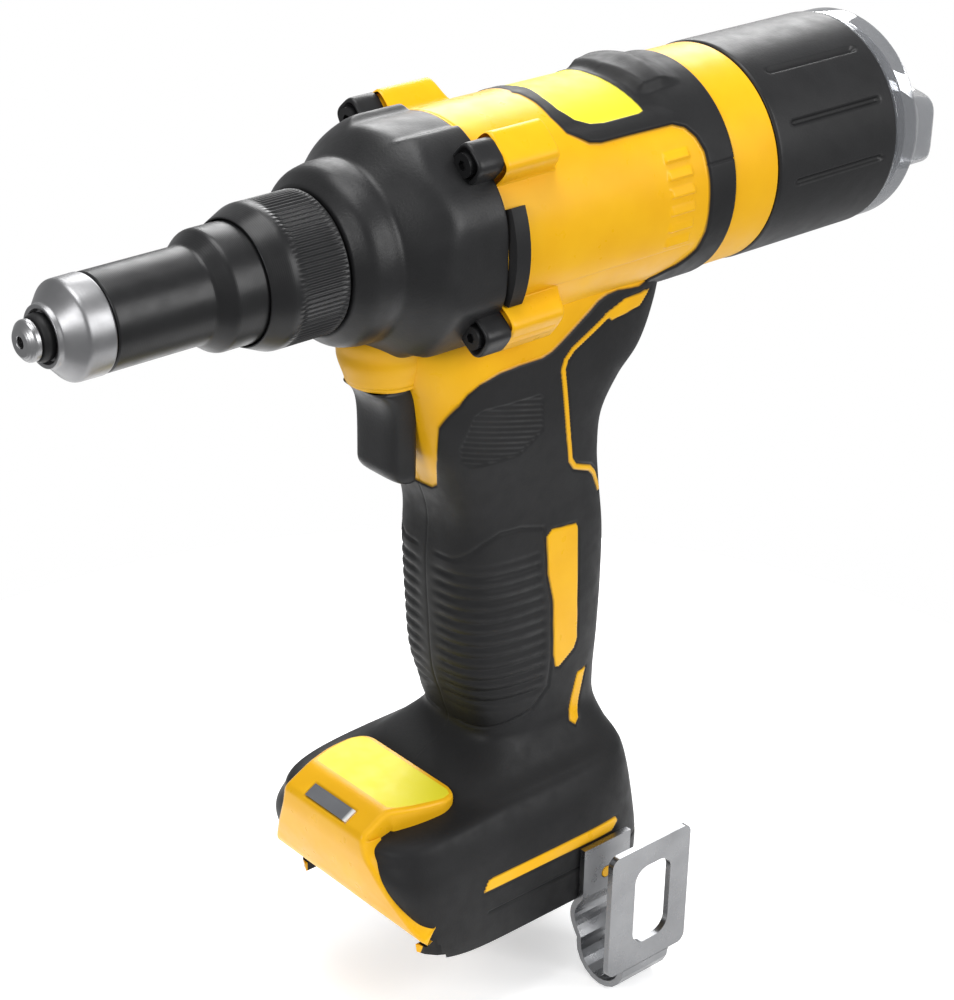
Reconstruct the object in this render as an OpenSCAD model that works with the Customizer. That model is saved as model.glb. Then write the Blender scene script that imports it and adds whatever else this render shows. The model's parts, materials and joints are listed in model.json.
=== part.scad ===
// Battery rivet tool with a ball screw puller, rear mandrel collector and slide-on battery foot.
// The barrel axis is Y, the nose points to -Y, and the origin is the centre of the nosepiece tip.
// Z is up, and +X is the side on the operator's left.

/* [Nose] */
// Diameter of the mandrel bore through the nosepiece
mandrel_d = 3.1; // [2.4:0.1:4]
// Largest diameter of the nosepiece head
nosepiece_d = 11; // [10:0.5:13]
// Diameter of the flat on the nosepiece tip
nosepiece_tip_d = 7.2; // [5:0.2:9]
// Length of the nosepiece head
nosepiece_head = 3.4; // [2.5:0.1:5]
// Diameter of the nosepiece thread and neck
nosepiece_neck_d = 9.6; // [8:0.2:9.8]
// Length of the neck seen between head and collar
nosepiece_neck = 2.9; // [2:0.1:4]
// Diameter of the steel nose collar
collar_d = 26.8; // [25:0.2:30]
// Diameter of the collar's front rim
collar_rim_d = 16; // [13:0.5:20]
// Length of the collar's cone
collar_cone = 6; // [4:0.5:7]
// Length of the collar that shows
collar_len = 13.8; // [12:0.2:18]
// Diameter of the slim part of the nose sleeve
sleeve_d = 26.4; // [25.6:0.2:28]
// Length of the slim part of the nose sleeve
sleeve_len = 29.6; // [24:0.2:40]
// Length of the cone up to the sleeve's step
sleeve_cone = 4.5; // [2:0.5:8]
// Diameter of the sleeve's step
step_d = 33; // [30:0.5:34]
// Length of the step that shows ahead of the nut
step_len = 9.5; // [6:0.5:14]

/* [Retaining nut] */
// Outside diameter of the knurled nut
nut_d = 40; // [39:0.5:44]
// Length of the nut
nut_len = 24; // [20:0.5:30]
// Length of the nut's front chamfer
nut_chamfer = 6; // [3:0.5:8]
// Bore of the nut over the gearcase snout
nut_bore_d = 36.6; // [35.5:0.1:37.4]
// Length of the knurled band
knurl_len = 15.5; // [10:0.5:16]
// Number of knurl ridges
knurl_count = 90; // [60:2:120]

/* [Gearcase] */
// Length of the gearcase cover behind the nut
case_len = 42.4; // [38:0.2:48]
// Largest diameter of the gearcase cover
case_d = 64.4; // [62:0.2:66]
// Diameter of the first bulge behind the nut
bulge_d = 50.6; // [46:0.2:54]
// Distance from the cover's front to the bearing seat
bearing_seat = 23.4; // [21:0.2:25]
// Diameter of the screw lugs
lug_d = 10; // [8:0.5:12]
// Angle of the upper lugs from the top
upper_lug_angle = 42.7; // [38:0.1:46]
// Angle of the lower lugs from the top
lower_lug_angle = 125.9; // [122:0.1:130]
// Length of the lugs
lug_len = 6.5; // [5:0.5:8]

/* [Barrel shell] */
// Outside diameter of the barrel shell
shell_d = 64.8; // [63:0.2:66]
// Length of the barrel shell
shell_len = 87; // [82:0.5:95]
// Wall of the barrel shell
shell_wall = 2.9; // [2:0.1:3.2]
// Length of the dark rear band
band_len = 13; // [10:0.5:16]
// Thickness of the rear band
band_t = 1.4; // [1:0.1:1.8]
// Length of the top saddle ahead of the band
saddle_len = 52; // [40:1:60]
// Thickness of the top saddle
saddle_t = 1.6; // [1:0.1:2.5]
// Height of the sight bump on the saddle
bump_h = 2.4; // [1:0.2:4]

/* [Rear] */
// Outside diameter of the rear ring
ring_d = 65.6; // [64:0.2:67]
// Length of the rear ring
ring_len = 18.3; // [16:0.1:22]
// Outside diameter of the mandrel collector
collector_d = 66.4; // [65:0.2:68]
// Length of the mandrel collector
collector_len = 52; // [45:0.5:60]
// Wall of the mandrel collector
collector_wall = 2.7; // [2:0.1:3.5]
// Number of grip grooves round the collector
groove_count = 12; // [8:1:16]
// Diameter of the clear end cap
cap_d = 65.6; // [64:0.2:67]
// Length of the end cap's rim
cap_len = 11; // [8:0.5:14]
// Height of the end cap's grip bar
cap_bar_h = 8; // [5:0.5:10]
// Width of the end cap's grip bar
cap_bar_w = 24; // [18:1:30]

/* [Handle and foot] */
// Drop from the barrel axis to the bottom of the handle
grip_drop = 163; // [155:1:172]
// Place of the handle's middle behind the nose tip
handle_y = 162; // [160:0.5:164]
// Depth of the handle, front to rear
handle_depth = 60; // [58:0.5:63]
// Width of the handle
handle_w = 41.2; // [40:0.2:44]
// Height of the battery foot
foot_h = 54.5; // [52:0.5:58]
// Length of the battery foot
foot_len = 95; // [93:0.5:98]
// Place of the foot's middle behind the nose tip
foot_y = 150.5; // [149:0.5:152]
// Width of the battery foot
foot_w = 76; // [74:0.5:80]
// Thickness of the soft overmould
overmould_t = 1.2; // [0.8:0.1:1.6]
// Wall of the handle under the overmould
handle_wall = 2.5; // [2:0.1:2.8]
// Height of the battery channel under the foot
channel_h = 10; // [8:0.5:11]
// Width of the battery channel
channel_w = 61; // [56:0.5:64]

/* [Trigger] */
// Width of the trigger
trigger_w = 19; // [16:0.5:20]
// Height of the trigger
trigger_h = 30; // [28:0.5:32]
// Travel of the trigger
trigger_travel = 5; // [3:0.5:5]

/* [Drive] */
// Diameter of the ball screw
screw_d = 16; // [15:0.2:16.6]
// Pulling stroke of the ball screw
stroke = 25; // [20:0.5:27]
// Outside diameter of the ball nut
ball_nut_d = 24.2; // [22:0.2:24.4]
// Teeth on the ball nut gear
nut_teeth = 44; // [40:1:44]
// Teeth on the small gear of the idler
idler_small_teeth = 12; // [12:1:14]
// Tooth module of the final pair
final_module = 1; // [0.95:0.01:1.02]
// Teeth on the large gear of the idler
idler_teeth = 36; // [32:1:36]
// Teeth on the motor pinion
pinion_teeth = 10; // [10:1:12]
// Tooth module of the motor pair
motor_module = 0.8; // [0.76:0.01:0.82]
// Face width of the final pair
gear_face = 10; // [8:0.5:11]
// Face width of the motor pair
motor_face = 6.5; // [5:0.5:8]
// Play between meshing tooth flanks
backlash = 0.22; // [0.16:0.02:0.3]

/* [Motor] */
// Outside diameter of the stator
stator_d = 36.4; // [34:0.2:36.6]
// Length of the stator
stator_len = 24; // [20:0.5:25]
// Diameter of the rotor magnets
rotor_d = 18; // [15:0.5:19]
// Diameter of the motor shaft
shaft_d = 4; // [3:0.1:5]
// Diameter of the cooling fan
fan_d = 31; // [28:0.5:32]

/* [Belt hook] */
// Thickness of the hook's steel strip
hook_t = 2; // [1.5:0.1:2.5]
// Width of the hook's inner leaf
hook_leaf_w = 19.5; // [16:0.5:22]
// Width of the hook's outer plate
hook_plate_w = 33; // [28:0.5:36]
// Distance from the inner leaf to the outer plate
hook_reach = 19; // [16:0.5:24]
// Height of the hook's outer plate
hook_plate_h = 43.5; // [40:0.5:48]

/* [Hidden] */
$fn = 64;

// Shared clearances: overrun of cuts, loose gap, close seat and running fit
over = 1;
gap = 0.3;
seat = 0.05;
run = 0.05;
coarse_fn = 24;
fine_curl_sides = 6;
curl_rings = 8;
ring_steps = 2;
half_points = 16;

// Stations along the barrel, from the nose tip back
y_collar0 = nosepiece_head + nosepiece_neck;
y_collar1 = y_collar0 + collar_len;
y_sleeve0 = y_collar1 + gap;
y_sleeve1 = y_sleeve0 + sleeve_len;
y_step0 = y_sleeve1 + sleeve_cone;
y_nut0 = y_step0 + step_len;
y_nut1 = y_nut0 + nut_len;
case_gap = 0.6;
y_case0 = y_nut1 + case_gap;
y_case1 = y_case0 + case_len;
y_shell0 = y_case1 + seat;
y_shell1 = y_shell0 + shell_len;
y_ring0 = y_shell1 + seat;
y_ring1 = y_ring0 + ring_len;
y_collector0 = y_ring1 + gap;
y_collector1 = y_collector0 + collector_len;
y_cap0 = y_collector1 + gap;
y_cap1 = y_cap0 + cap_len;

// Nose sleeve, jaw set and pull rod
sleeve_wall = 2.6;
jaw_bore_r = sleeve_d / 2 - sleeve_wall;
spigot_len = 6.6;
spigot_wall = 1.3;
nose_flange_t = 3.7;
nut_lip = 4.3;
snout_r = nut_bore_d / 2 - gap;
y_flange0 = y_nut0 + nut_lip + gap;
y_flange1 = y_flange0 + nose_flange_t;
y_snout0 = y_flange1 + gap;
nosepiece_thread = 7.7;
nosepiece_cone = 4;
nosepiece_flat = 1.6;
y_thread1 = y_collar0 + nosepiece_thread;
collar_floor = y_thread1 + over;
case_front_t = 2.5;
y_jaw0 = collar_floor + gap;
jaw_case_r = jaw_bore_r - gap;
jaw_case_len = 34.5;
y_jaw1 = y_jaw0 + jaw_case_len;
jaw_mouth_r = nosepiece_neck_d / 2;
jaw_core_r = 7.4;
jaw_cone_len = 16;
jaw_len = 13;
jaw_count = 3;
jaw_slit_angle = 4;
mandrel_play = 0.5;
jaw_play = 0.15;
y_cone0 = y_jaw0 + case_front_t;
y_cone1 = y_cone0 + jaw_cone_len;
pusher_head = 3.3;
pusher_tail = 9;
pusher_tail_r = 3.6;
y_pusher0 = y_cone1 - jaw_cone_len + jaw_len + case_front_t;
y_pusher1 = y_pusher0 + pusher_head;
screw_spigot = 9;
spring_pocket_r = 5.6;
spring_pocket = 15;
screw_bore_r = 3;
rod_len = 128;
y_screw0 = y_jaw1 - screw_spigot;
y_screw1 = y_jaw1 + rod_len;
spring_wire = 0.9;
jaw_spring_r = 4.55;
jaw_spring_turns = 7;
y_pocket1 = y_screw0 + spring_pocket;

// Gearcase cover
case_bore_r = jaw_bore_r + gap;
bearing_t = 6;
thrust_t = 6;
bearing_wall = 5.8;
bearing_r = ball_nut_d / 2 + bearing_wall;
y_thrust0 = y_case0 + bearing_seat;
y_thrust1 = y_thrust0 + thrust_t;
y_bnut0 = y_thrust1 + gap;
y_bearing0 = y_bnut0 + gap;
y_bearing1 = y_bearing0 + bearing_t;
boss_wall = 3;
case_wall = 4.2;
pocket_floor = 2;
neck_share = 0.82;
bulge_shares = [0.19, 0.28];
belly_shares = [0.38, 0.5, 0.6];
belly_r_shares = [0.87, 0.965, 1];
panel_y_shares = [0.36, 0.88];
panel_h_share = 0.512;
panel_h = case_d * panel_h_share;
panel_rise = 0.8;
panel_x = case_d / 2 + panel_rise;
panel_depth_share = 0.9;
panel_cut = 8;

// Gears and shafts
idler_drop = final_module * (nut_teeth + idler_small_teeth) / 2;
motor_drop = idler_drop + motor_module * (idler_teeth + pinion_teeth) / 2;
gear_gap = 1.5;
plate_t = 3;
y_gear0 = y_shell0 + over;
y_gear1 = y_gear0 + gear_face;
y_wheel0 = y_gear1 + gear_gap;
y_wheel1 = y_wheel0 + motor_face;
y_plate0 = y_wheel1 + gear_gap;
y_plate1 = y_plate0 + plate_t;
y_hub0 = y_plate1 + seat;
y_rear_bearing0 = y_hub0 + gap;
y_rear_bearing1 = y_rear_bearing0 + bearing_t;
y_bnut1 = y_rear_bearing1 + gap;
guide_flange_t = 3;
guide_bore_r = 13;
guide_tube_wall = 4.5;
y_guide0 = y_bnut1 + gap;
y_guide1 = y_guide0 + guide_flange_t;
guide_clear = 9.25;
y_guide2 = y_screw1 + stroke + guide_clear;
block_len = 6;
block_r = 12;
lug_reach = 17;
lug_h = 6;
axle_r = 2.5;
axle_boss_r = 4;
barrel_bore_r = shell_d / 2 - shell_wall;
tube_r = 2.7;
tube_wall = 0.6;
tube_back = 12;
tube_front = 30;

// Motor in the head of the handle
y_motor0 = y_plate1 + seat;
y_motor1 = y_motor0 + stator_len;
air_gap = 0.6;
coil_r_share = 0.9;
plate_web_share = 0.9;
coil_len = 2.4;
stub_len = 1;
fan_gap = 1;
fan_t = 4;
fan_disc = 1.5;
fan_hub_r = 4;
fan_blades = 12;
blade_t = 1.2;
motor_bearing_r = 5;
motor_bearing_t = 3;
y_fan0 = y_motor1 + coil_len + fan_gap;
y_fan1 = y_fan0 + fan_t;
y_motor_rib0 = y_fan1 + fan_gap;
rib_t = 4;
rib_width = 60;
rib_h = 44;

// Handle and foot, as shares of their sizes
// Each handle row: drop, front reach, rear reach and width
grip_square = 3.5;
handle_shares = [
    [0.123, 0.833, 0.833, 1.092], [0.209, 0.817, 0.78, 1.107], [0.282, 0.75, 0.69, 1.097],
    [0.331, 0.717, 0.55, 1.087], [0.393, 0.667, 0.44, 1.068], [0.466, 0.575, 0.425, 1.029],
    [0.54, 0.51, 0.45, 1], [0.638, 0.515, 0.49, 1], [0.748, 0.495, 0.495, 1],
    [0.859, 0.465, 0.488, 0.98], [0.945, 0.39, 0.477, 0.942], [1, 0.365, 0.482, 0.968]];
// Each foot row: depth below the handle, front reach, rear reach, width, squareness and lean of its surface
foot_shares = [
    [0.138, 0.474, 0.89, 0.658, 3.8, 0.7], [0.22, 0.621, 0.92, 0.795, 4.2, 0.95],
    [0.275, 1.105, 0.937, 0.874, 4.5, 0.9], [0.385, 1.183, 0.949, 0.947, 4.5, 0.3],
    [0.55, 1.158, 0.958, 0.987, 4.8, 0], [0.807, 1.032, 0.968, 1, 5.5, 0], [1, 0.989, 0.958, 0.995, 5.5, 0]];
// Angle of the overmould's front edge against the drop share
grip_edge_shares = [[0.16, 2], [0.209, -2], [0.24, -15], [0.282, -30], [0.331, -52], [0.393, -64],
    [0.466, -72], [0.485, -90], [2, -90]];
grip_top_share = 0.16;
foot_bottom = grip_drop + foot_h;
grip_skirt = 5;
floor_t = 2.5;
z_channel = -(foot_bottom - channel_h);
z_floor = z_channel + floor_t;
rail_w = 3.5;
rail_h = 3;
channel_end_share = 0.27;
y_channel1 = foot_y + foot_len * channel_end_share;
chin_r = 13.2;
chin_edge_r = 2.5;
chin_taper = 8;
chin_front = 6;
chin_drop = 41;
seam = 0.1;

// Foot bezel: half widths and places as shares of the foot
bezel_edge_r = 2;
bezel_back_share = 0.516;
y_bezel1 = foot_y - foot_len / 2 * bezel_back_share;
// Each bezel corner: width, reach and drop, from the label's back edge over the fold, brow and nose to the lip
bezel_shares = [[0.547, 0.47, 0.193], [0.405, 1.023, 0.161], [0.442, 1.194, 0.242], [0.474, 1.189, 0.339],
    [0.684, 1.118, 0.545], [0.921, 0.992, 0.807], [0.921, 0.47, 0.807]];
// Outline of the bezel's zone seen from ahead: width and drop
zone_top_share = 0.05;
zone_shares = [[0.616, 0.22], [0.537, 0.303], [0.579, 0.422], [0.684, 0.558], [0.829, 0.688], [1.03, 0.807]];
lamp_w = 19.2;
lamp_h = 4.6;
lamp_t = 3;
lamp_pocket = 24;
lamp_board_t = 1.2;
lamp_place_share = 0.72;

// Trigger and switch
z_trigger0 = -(chin_drop + gap);
z_trigger1 = z_trigger0 - trigger_h;
trigger_rear_share = 0.683;
trigger_rear = handle_y - handle_depth * trigger_rear_share;
trigger_lip = 14.7;
trigger_foot_share = 0.66;
trigger_sag = 2.5;
trigger_steps = 12;
stem_r = 3;
stem_share = 0.6;
z_stem = z_trigger0 - trigger_h * stem_share;
spring_solid = 3;
spring_room = trigger_travel + spring_solid;
stem_grip = 4;
stem_len = spring_room + stem_grip;
switch_w = 17;
switch_clear = 0.53;
switch_h = 20;
y_switch0 = trigger_rear + spring_room;
y_switch1 = y_wheel0 - switch_clear;
trigger_spring_r = 4.2;
trigger_spring_turns = 3;
trigger_wire = 0.7;

// Foot internals
board_t = 1.6;
board_w = 56;
board_len = 53;
board_gap = 2;
board_y = y_bezel1 + board_gap;
block_w = 40;
block_len_y = 32;
block_front_share = 0.11;
block_y = foot_y - foot_len * block_front_share;
block_drop = 6.5;
block_rim = 2;
blade_w = 0.8;
blade_len = 13;
blade_h = 4.5;
blade_pitch = 8;
blade_count = 4;
lead_r = 1.2;
lead_pitch = 4;
lead_count = 3;
lead_back_share = 0.05;
lead_y = handle_y + handle_depth * lead_back_share;

// Fasteners: gearcase screws and housing screws
screw_r = 1.9;
screw_head_r = 3.4;
screw_head_t = 3.1;
screw_len = 14;
hex_r = 1.5;
lug_clear = 0.2;
lug_circle_r = case_d / 2 + screw_head_r + lug_clear;
boss_r = 5;
head_seat = 13;
tip_depth = 11;
screw_yz_shares = [[-0.367, 0.589], [0.35, 0.687], [-0.267, 0.896], [0.367, 0.982], [0.6, 0.233]];
foot_screw_inset = 7.5;
foot_screw_drop_share = 0.605;

// Belt hook, from the top of its inner leaf down and round to the outer plate
hook_x = foot_w / 2 + gap;
hook_back_share = 0.23;
hook_top_share = 0.34;
hook_low_share = 0.46;
hook_y = foot_y + foot_len * hook_back_share;
hook_top = foot_bottom - foot_h * hook_top_share;
leaf_h = 17.5;
bulge_len = 15;
bulge_in = 3.4;
hook_bottom = foot_bottom + foot_h * hook_low_share;
hook_steps = 10;
latch_r = 1.8;
latch_drop = 11.4;
plate_corner_r = 3;
slot_w = 15;
slot_h = 28;
slot_y_shift = 1;

// Surface grooves on the collector
groove_len = 30;
groove_w = 1.4;
groove_deep = 0.8;
knurl_deep = 0.5;

// Overmould details: the bump and the side bumpers
saddle_angle = 76;
bump_angle = 40;
bump_len = 14;
bump_back = 12;
band_angle = 264;
bumper_angle = 48;
bumper_len = 7;
bumper_t = 2.3;

// Gear tooth proportions
pressure_angle = 20;
addendum_share = 0.62;
dedendum_share = 1.05;
flank_steps = 4;

// Moves a shape drawn up Z so that it runs along the barrel from y
module along(y) {
    translate([0, y, 0]) rotate([-90, 0, 0]) children();
}

// Solid of revolution about the barrel axis from points of radius and station
module spin(points) {
    rotate([-90, 0, 0]) rotate_extrude() polygon(points);
}

// Part of a ring about the barrel axis, centred on the top, or turned by an angle from it
module arc_band(points, angle, turn = 0) {
    rotate([0, turn, 0]) rotate([-90, 0, 0]) rotate([0, 0, -90 - angle / 2])
        rotate_extrude(angle = angle) polygon(points);
}

// Round bar along the barrel
module bar(y0, y1, r, x = 0, z = 0) {
    translate([x, 0, z]) along(y0) cylinder(r = r, h = y1 - y0);
}

// Hollow bar along the barrel
module pipe(y0, y1, r, bore) {
    difference() {
        bar(y0, y1, r);
        bar(y0 - over, y1 + over, bore);
    }
}

// Block between two corners
module block(low, high) {
    translate(low) cube(high - low);
}

// The same shape on the left and the right
module both_sides() {
    children();
    mirror([1, 0, 0]) children();
}

// Skin over a stack of closed loops of equal count; a thin loop runs out along one face and back
// along the other, so its caps are rows of quads
module skin(rings, thin = false) {
    n = len(rings[0]);
    last = len(rings) - 1;
    sides = [for (k = [0:last - 1], i = [0:n - 1])
        let (a = k * n + i, b = k * n + (i + 1) % n)
        each i <= half_points ? [[a, b, b + n], [a, b + n, a + n]] : [[a, b, a + n], [b, b + n, a + n]]];
    quads = [for (i = [0:n / 2 - 2]) [i, i + 1, n - 2 - i, n - 1 - i]];
    caps = thin ? quads : [[for (i = [0:n - 1]) i]];
    top = [for (c = caps) [for (i = [len(c) - 1:-1:0]) c[i]]];
    bottom = [for (c = caps) [for (i = c) last * n + i]];
    polyhedron([for (ring = rings) each ring], concat(top, sides, bottom), convexity = 8);
}

// Tooth angle from its middle at a radius, for an involute tooth
function involute(angle) = tan(angle) * 180 / PI - angle;
function tooth_half(teeth, modul, r) =
    let (pitch_r = modul * teeth / 2, base_r = pitch_r * cos(pressure_angle))
    90 / teeth - backlash / 2 / pitch_r * 180 / PI + involute(pressure_angle)
        - (r > base_r ? involute(acos(base_r / r)) : 0);

// Outline of a spur gear with a tooth, or a gap, at the given angle
module gear_outline(teeth, modul, angle) {
    pitch_r = modul * teeth / 2;
    root_r = pitch_r - modul * dedendum_share;
    tip_r = pitch_r + modul * addendum_share;
    base_r = pitch_r * cos(pressure_angle);
    low_r = max(base_r, root_r);
    radii = [root_r, for (i = [0:flank_steps]) low_r + (tip_r - low_r) * i / flank_steps];
    count = len(radii);
    polygon([for (t = [0:teeth - 1], i = [0:2 * count - 1])
        let (up = i < count, r = radii[up ? i : 2 * count - 1 - i],
            half = tooth_half(teeth, modul, max(r, low_r)),
            a = angle + t * 360 / teeth + (up ? -half : half))
        [r * cos(a), r * sin(a)]]);
}

// Gear along the barrel at a drop below it, drawn with a tooth or a gap facing down or up
module gear(y0, y1, drop, teeth, modul, angle) {
    translate([0, 0, -drop]) along(y0) linear_extrude(y1 - y0) gear_outline(teeth, modul, angle);
}

// Helical spring along the barrel direction about a line at height z
function spring_rings(r, wire, turns, y0, y1, z) =
    [for (k = [0:turns * curl_rings])
        let (a = k * 360 / curl_rings,
            y = y0 + wire / 2 + (y1 - y0 - wire) * k / (turns * curl_rings))
        [for (s = [0:fine_curl_sides - 1])
            let (p = s * 360 / fine_curl_sides, q = r + wire / 2 * cos(p))
            [q * cos(a), y - wire / 2 * sin(p), z + q * sin(a)]]];

module spring(r, wire, turns, y0, y1, z) {
    skin(spring_rings(r, wire, turns, y0, y1, z));
    echo(least_gap = (y1 - y0 - wire) / turns - wire);
}

// Handle and foot sections: height, front, rear, half width, squareness and lean
handle_rows = [for (s = handle_shares)
    [-s[0] * grip_drop, handle_y - s[1] * handle_depth, handle_y + s[2] * handle_depth,
        s[3] * handle_w / 2, grip_square, 0]];
foot_rows = [for (s = foot_shares)
    [-grip_drop - s[0] * foot_h, foot_y - s[1] * foot_len / 2, foot_y + s[2] * foot_len / 2,
        s[3] * foot_w / 2, s[4], s[5]]];
rows = concat(handle_rows, foot_rows);

// Smooth row between the given rows
function row_at(u) =
    let (last = len(rows) - 1, i = min(floor(u), last - 1), t = u - i,
        a = rows[max(i - 1, 0)], b = rows[i], c = rows[i + 1], d = rows[min(i + 2, last)])
    (2 * b + (c - a) * t + (2 * a - 5 * b + 4 * c - d) * t * t + (3 * b - a - 3 * c + d) * t * t * t) / 2;
smooth_rows = [for (k = [0:ring_steps * (len(rows) - 1)]) row_at(k / ring_steps)];

// Point of a section at an angle from the side, set in from the surface
function section_point(row, inset, angle) =
    let (power = 2 / row[4], c = max(cos(angle), 0), s = sin(angle), mid = (row[1] + row[2]) / 2,
        half = (row[2] - row[1]) / 2 - inset)
    [(row[3] - inset) * pow(c, power), mid + half * sign(s) * pow(abs(s), power), row[0] - inset * row[5]];

// Half sections for the left side, closed along the middle plane
function half_rings(inset) =
    [for (row = smooth_rows)
        [for (i = [0:half_points]) section_point(row, inset, -90 + 180 * i / half_points)]];

// Wall sections for the left side, from the overmould's front edge to the rear seam
function wall_rings(low, high) =
    [for (row = smooth_rows) if (-row[0] > grip_top_share * grip_drop && -row[0] < foot_bottom - grip_skirt)
        let (edge = lookup(-row[0] / grip_drop, grip_edge_shares))
        concat([for (i = [0:half_points]) section_point(row, low, edge + (90 - edge) * i / half_points)],
            [for (i = [half_points:-1:0]) section_point(row, high, edge + (90 - edge) * i / half_points)])];

// Outline of the gearcase cover's outside, grown by a clearance
function case_outline(grow) = [
    [bulge_d / 2 * neck_share + grow, y_case0 - grow],
    [bulge_d / 2 + grow, y_case0 + case_len * bulge_shares[0]],
    [bulge_d / 2 + grow, y_case0 + case_len * bulge_shares[1]],
    [case_d / 2 * belly_r_shares[0] + grow, y_case0 + case_len * belly_shares[0]],
    [case_d / 2 * belly_r_shares[1] + grow, y_case0 + case_len * belly_shares[1]],
    [case_d / 2 + grow, y_case0 + case_len * belly_shares[2]],
    [case_d / 2 + grow, y_case1]];

// Places of the gearcase lugs on the left side, round the gearcase cover
lug_angles = [upper_lug_angle, lower_lug_angle];
lug_places = [for (a = lug_angles) [lug_circle_r * sin(a), lug_circle_r * cos(a)]];

// Places of the housing screws in the middle plane
foot_screw_place = [foot_y + foot_len / 2 * foot_shares[4][2] - foot_screw_inset,
    -grip_drop - foot_screw_drop_share * foot_h];
screw_places = concat([for (s = screw_yz_shares) [handle_y + s[0] * handle_depth, -s[1] * grip_drop]],
    [foot_screw_place]);

module nosepiece() {
    color("silver") spin([
        [mandrel_d / 2, 0], [nosepiece_tip_d / 2, 0], [nosepiece_d / 2, nosepiece_flat],
        [nosepiece_d / 2, nosepiece_head], [nosepiece_neck_d / 2, nosepiece_head],
        [nosepiece_neck_d / 2, y_thread1], [mandrel_d / 2, y_thread1 + nosepiece_cone]]);
}

module nose_collar() {
    bore_r = nosepiece_neck_d / 2 + run;
    spigot_r = jaw_bore_r + spigot_wall;
    color("gainsboro") spin([
        [bore_r, y_collar0], [collar_rim_d / 2, y_collar0], [collar_d / 2, y_collar0 + collar_cone],
        [collar_d / 2, y_collar1], [spigot_r, y_collar1], [spigot_r, y_collar1 + spigot_len],
        [jaw_bore_r, y_collar1 + spigot_len], [jaw_bore_r, collar_floor], [bore_r, collar_floor]]);
}

module nose_sleeve() {
    socket_r = jaw_bore_r + spigot_wall + run;
    socket_end = y_collar1 + spigot_len + gap;
    color("#26272a") spin([
        [socket_r, y_sleeve0], [sleeve_d / 2, y_sleeve0], [sleeve_d / 2, y_sleeve1], [step_d / 2, y_step0],
        [step_d / 2, y_flange0], [snout_r, y_flange0], [snout_r, y_flange1], [jaw_bore_r, y_flange1],
        [jaw_bore_r, socket_end], [socket_r, socket_end]]);
}

module retaining_nut() {
    knurl_r = nut_d / 2 - knurl_deep;
    color("#2b2c2f") difference() {
        union() {
            spin([[0, y_nut0], [step_d / 2 + gap * 2, y_nut0], [knurl_r, y_nut0 + nut_chamfer],
                [knurl_r, y_nut1], [0, y_nut1]]);
            along(y_nut1 - knurl_len) linear_extrude(knurl_len)
                polygon([for (i = [0:2 * knurl_count - 1])
                    let (a = i * 180 / knurl_count, r = knurl_r + seat + (i % 2) * (knurl_deep - seat))
                    [r * cos(a), r * sin(a)]]);
        }
        bar(y_nut0 - over, y_nut1 + over, step_d / 2 + gap);
        bar(y_nut0 + nut_lip, y_nut1 + over, nut_bore_d / 2);
    }
}

module gearcase_cover() {
    seat_r = bearing_r + run;
    groove_r = seat_r + boss_wall;
    outer_r = case_d / 2 - case_wall;
    groove_y = y_case0 + case_len * belly_shares[1];
    color("#242528") difference() {
        union() {
            spin(concat(
                [[case_bore_r, y_snout0], [snout_r, y_snout0], [snout_r, y_case0]],
                case_outline(0),
                [[outer_r, y_case1], [outer_r, groove_y], [groove_r, groove_y], [groove_r, y_bearing1],
                    [seat_r, y_bearing1], [seat_r, y_thrust0], [case_bore_r, y_thrust0]]));
            both_sides() for (p = lug_places) bar(y_case1 - lug_len, y_case1, lug_d / 2, p[0], p[1]);
            both_sides() side_panel();
            bar(groove_y - over, y_case1 - pocket_floor, axle_boss_r, 0, -idler_drop);
        }
        both_sides() for (p = lug_places)
            bar(y_case1 - lug_len - over, y_case1 + over, screw_r + run, p[0], p[1]);
        bar(y_thrust0 + pocket_floor, y_case1 + over, axle_r + run, 0, -idler_drop);
    }
}

// Flat eight-sided panel on the side of the gearcase cover
module side_panel() {
    y0 = y_case0 + case_len * panel_y_shares[0];
    y1 = y_case0 + case_len * panel_y_shares[1];
    depth = case_wall * panel_depth_share;
    translate([panel_x - depth, 0, 0]) rotate([90, 0, 90]) linear_extrude(depth)
        polygon([[y0, panel_h / 2 - panel_cut], [y0 + panel_cut, panel_h / 2], [y1, panel_h / 2],
            [y1, -panel_h / 2], [y0 + panel_cut, -panel_h / 2], [y0, -panel_h / 2 + panel_cut]]);
}

module gearcase_screws() {
    y_head = y_case1 - lug_len - seat;
    color("#1c1c1e") both_sides() for (p = lug_places) difference() {
        union() {
            bar(y_head - screw_head_t, y_head, screw_head_r, p[0], p[1]);
            bar(y_head - seat, y_head + lug_len + screw_len, screw_r, p[0], p[1]);
        }
        translate([p[0], 0, p[1]]) along(y_head - screw_head_t - over)
            cylinder(r = hex_r, h = screw_head_t / 2 + over, $fn = 6);
    }
}

module side_bumpers() {
    r = shell_d / 2 + seat;
    y0 = y_shell0 + gap;
    color("#1f2022") both_sides()
        arc_band([[r, y0], [r + bumper_t, y0 + over], [r + bumper_t, y0 + bumper_len - over],
            [r, y0 + bumper_len]], bumper_angle, 90);
}

// Parts of the handle cavity that stay solid: ribs, the switch block, the foot's floor and screw bosses
module ribs() {
    x = rib_width / 2;
    block([-over, y_switch0 - rib_t, z_stem - switch_h / 2 - rib_t],
        [x, y_switch1 + rib_t, z_stem + switch_h / 2 + rib_t]);
    for (y = [y_motor0 + rib_t, y_motor1 - 2 * rib_t, y_motor_rib0])
        block([-over, y, -motor_drop - rib_h / 2], [x, y + rib_t, -motor_drop + rib_h / 2]);
    block([-over, 0, -2 * foot_bottom], [foot_w, 2 * foot_y, z_floor]);
    for (p = screw_places)
        translate([-over, p[0], p[1]]) rotate([0, 90, 0]) cylinder(r = boss_r, h = x);
}

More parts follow.
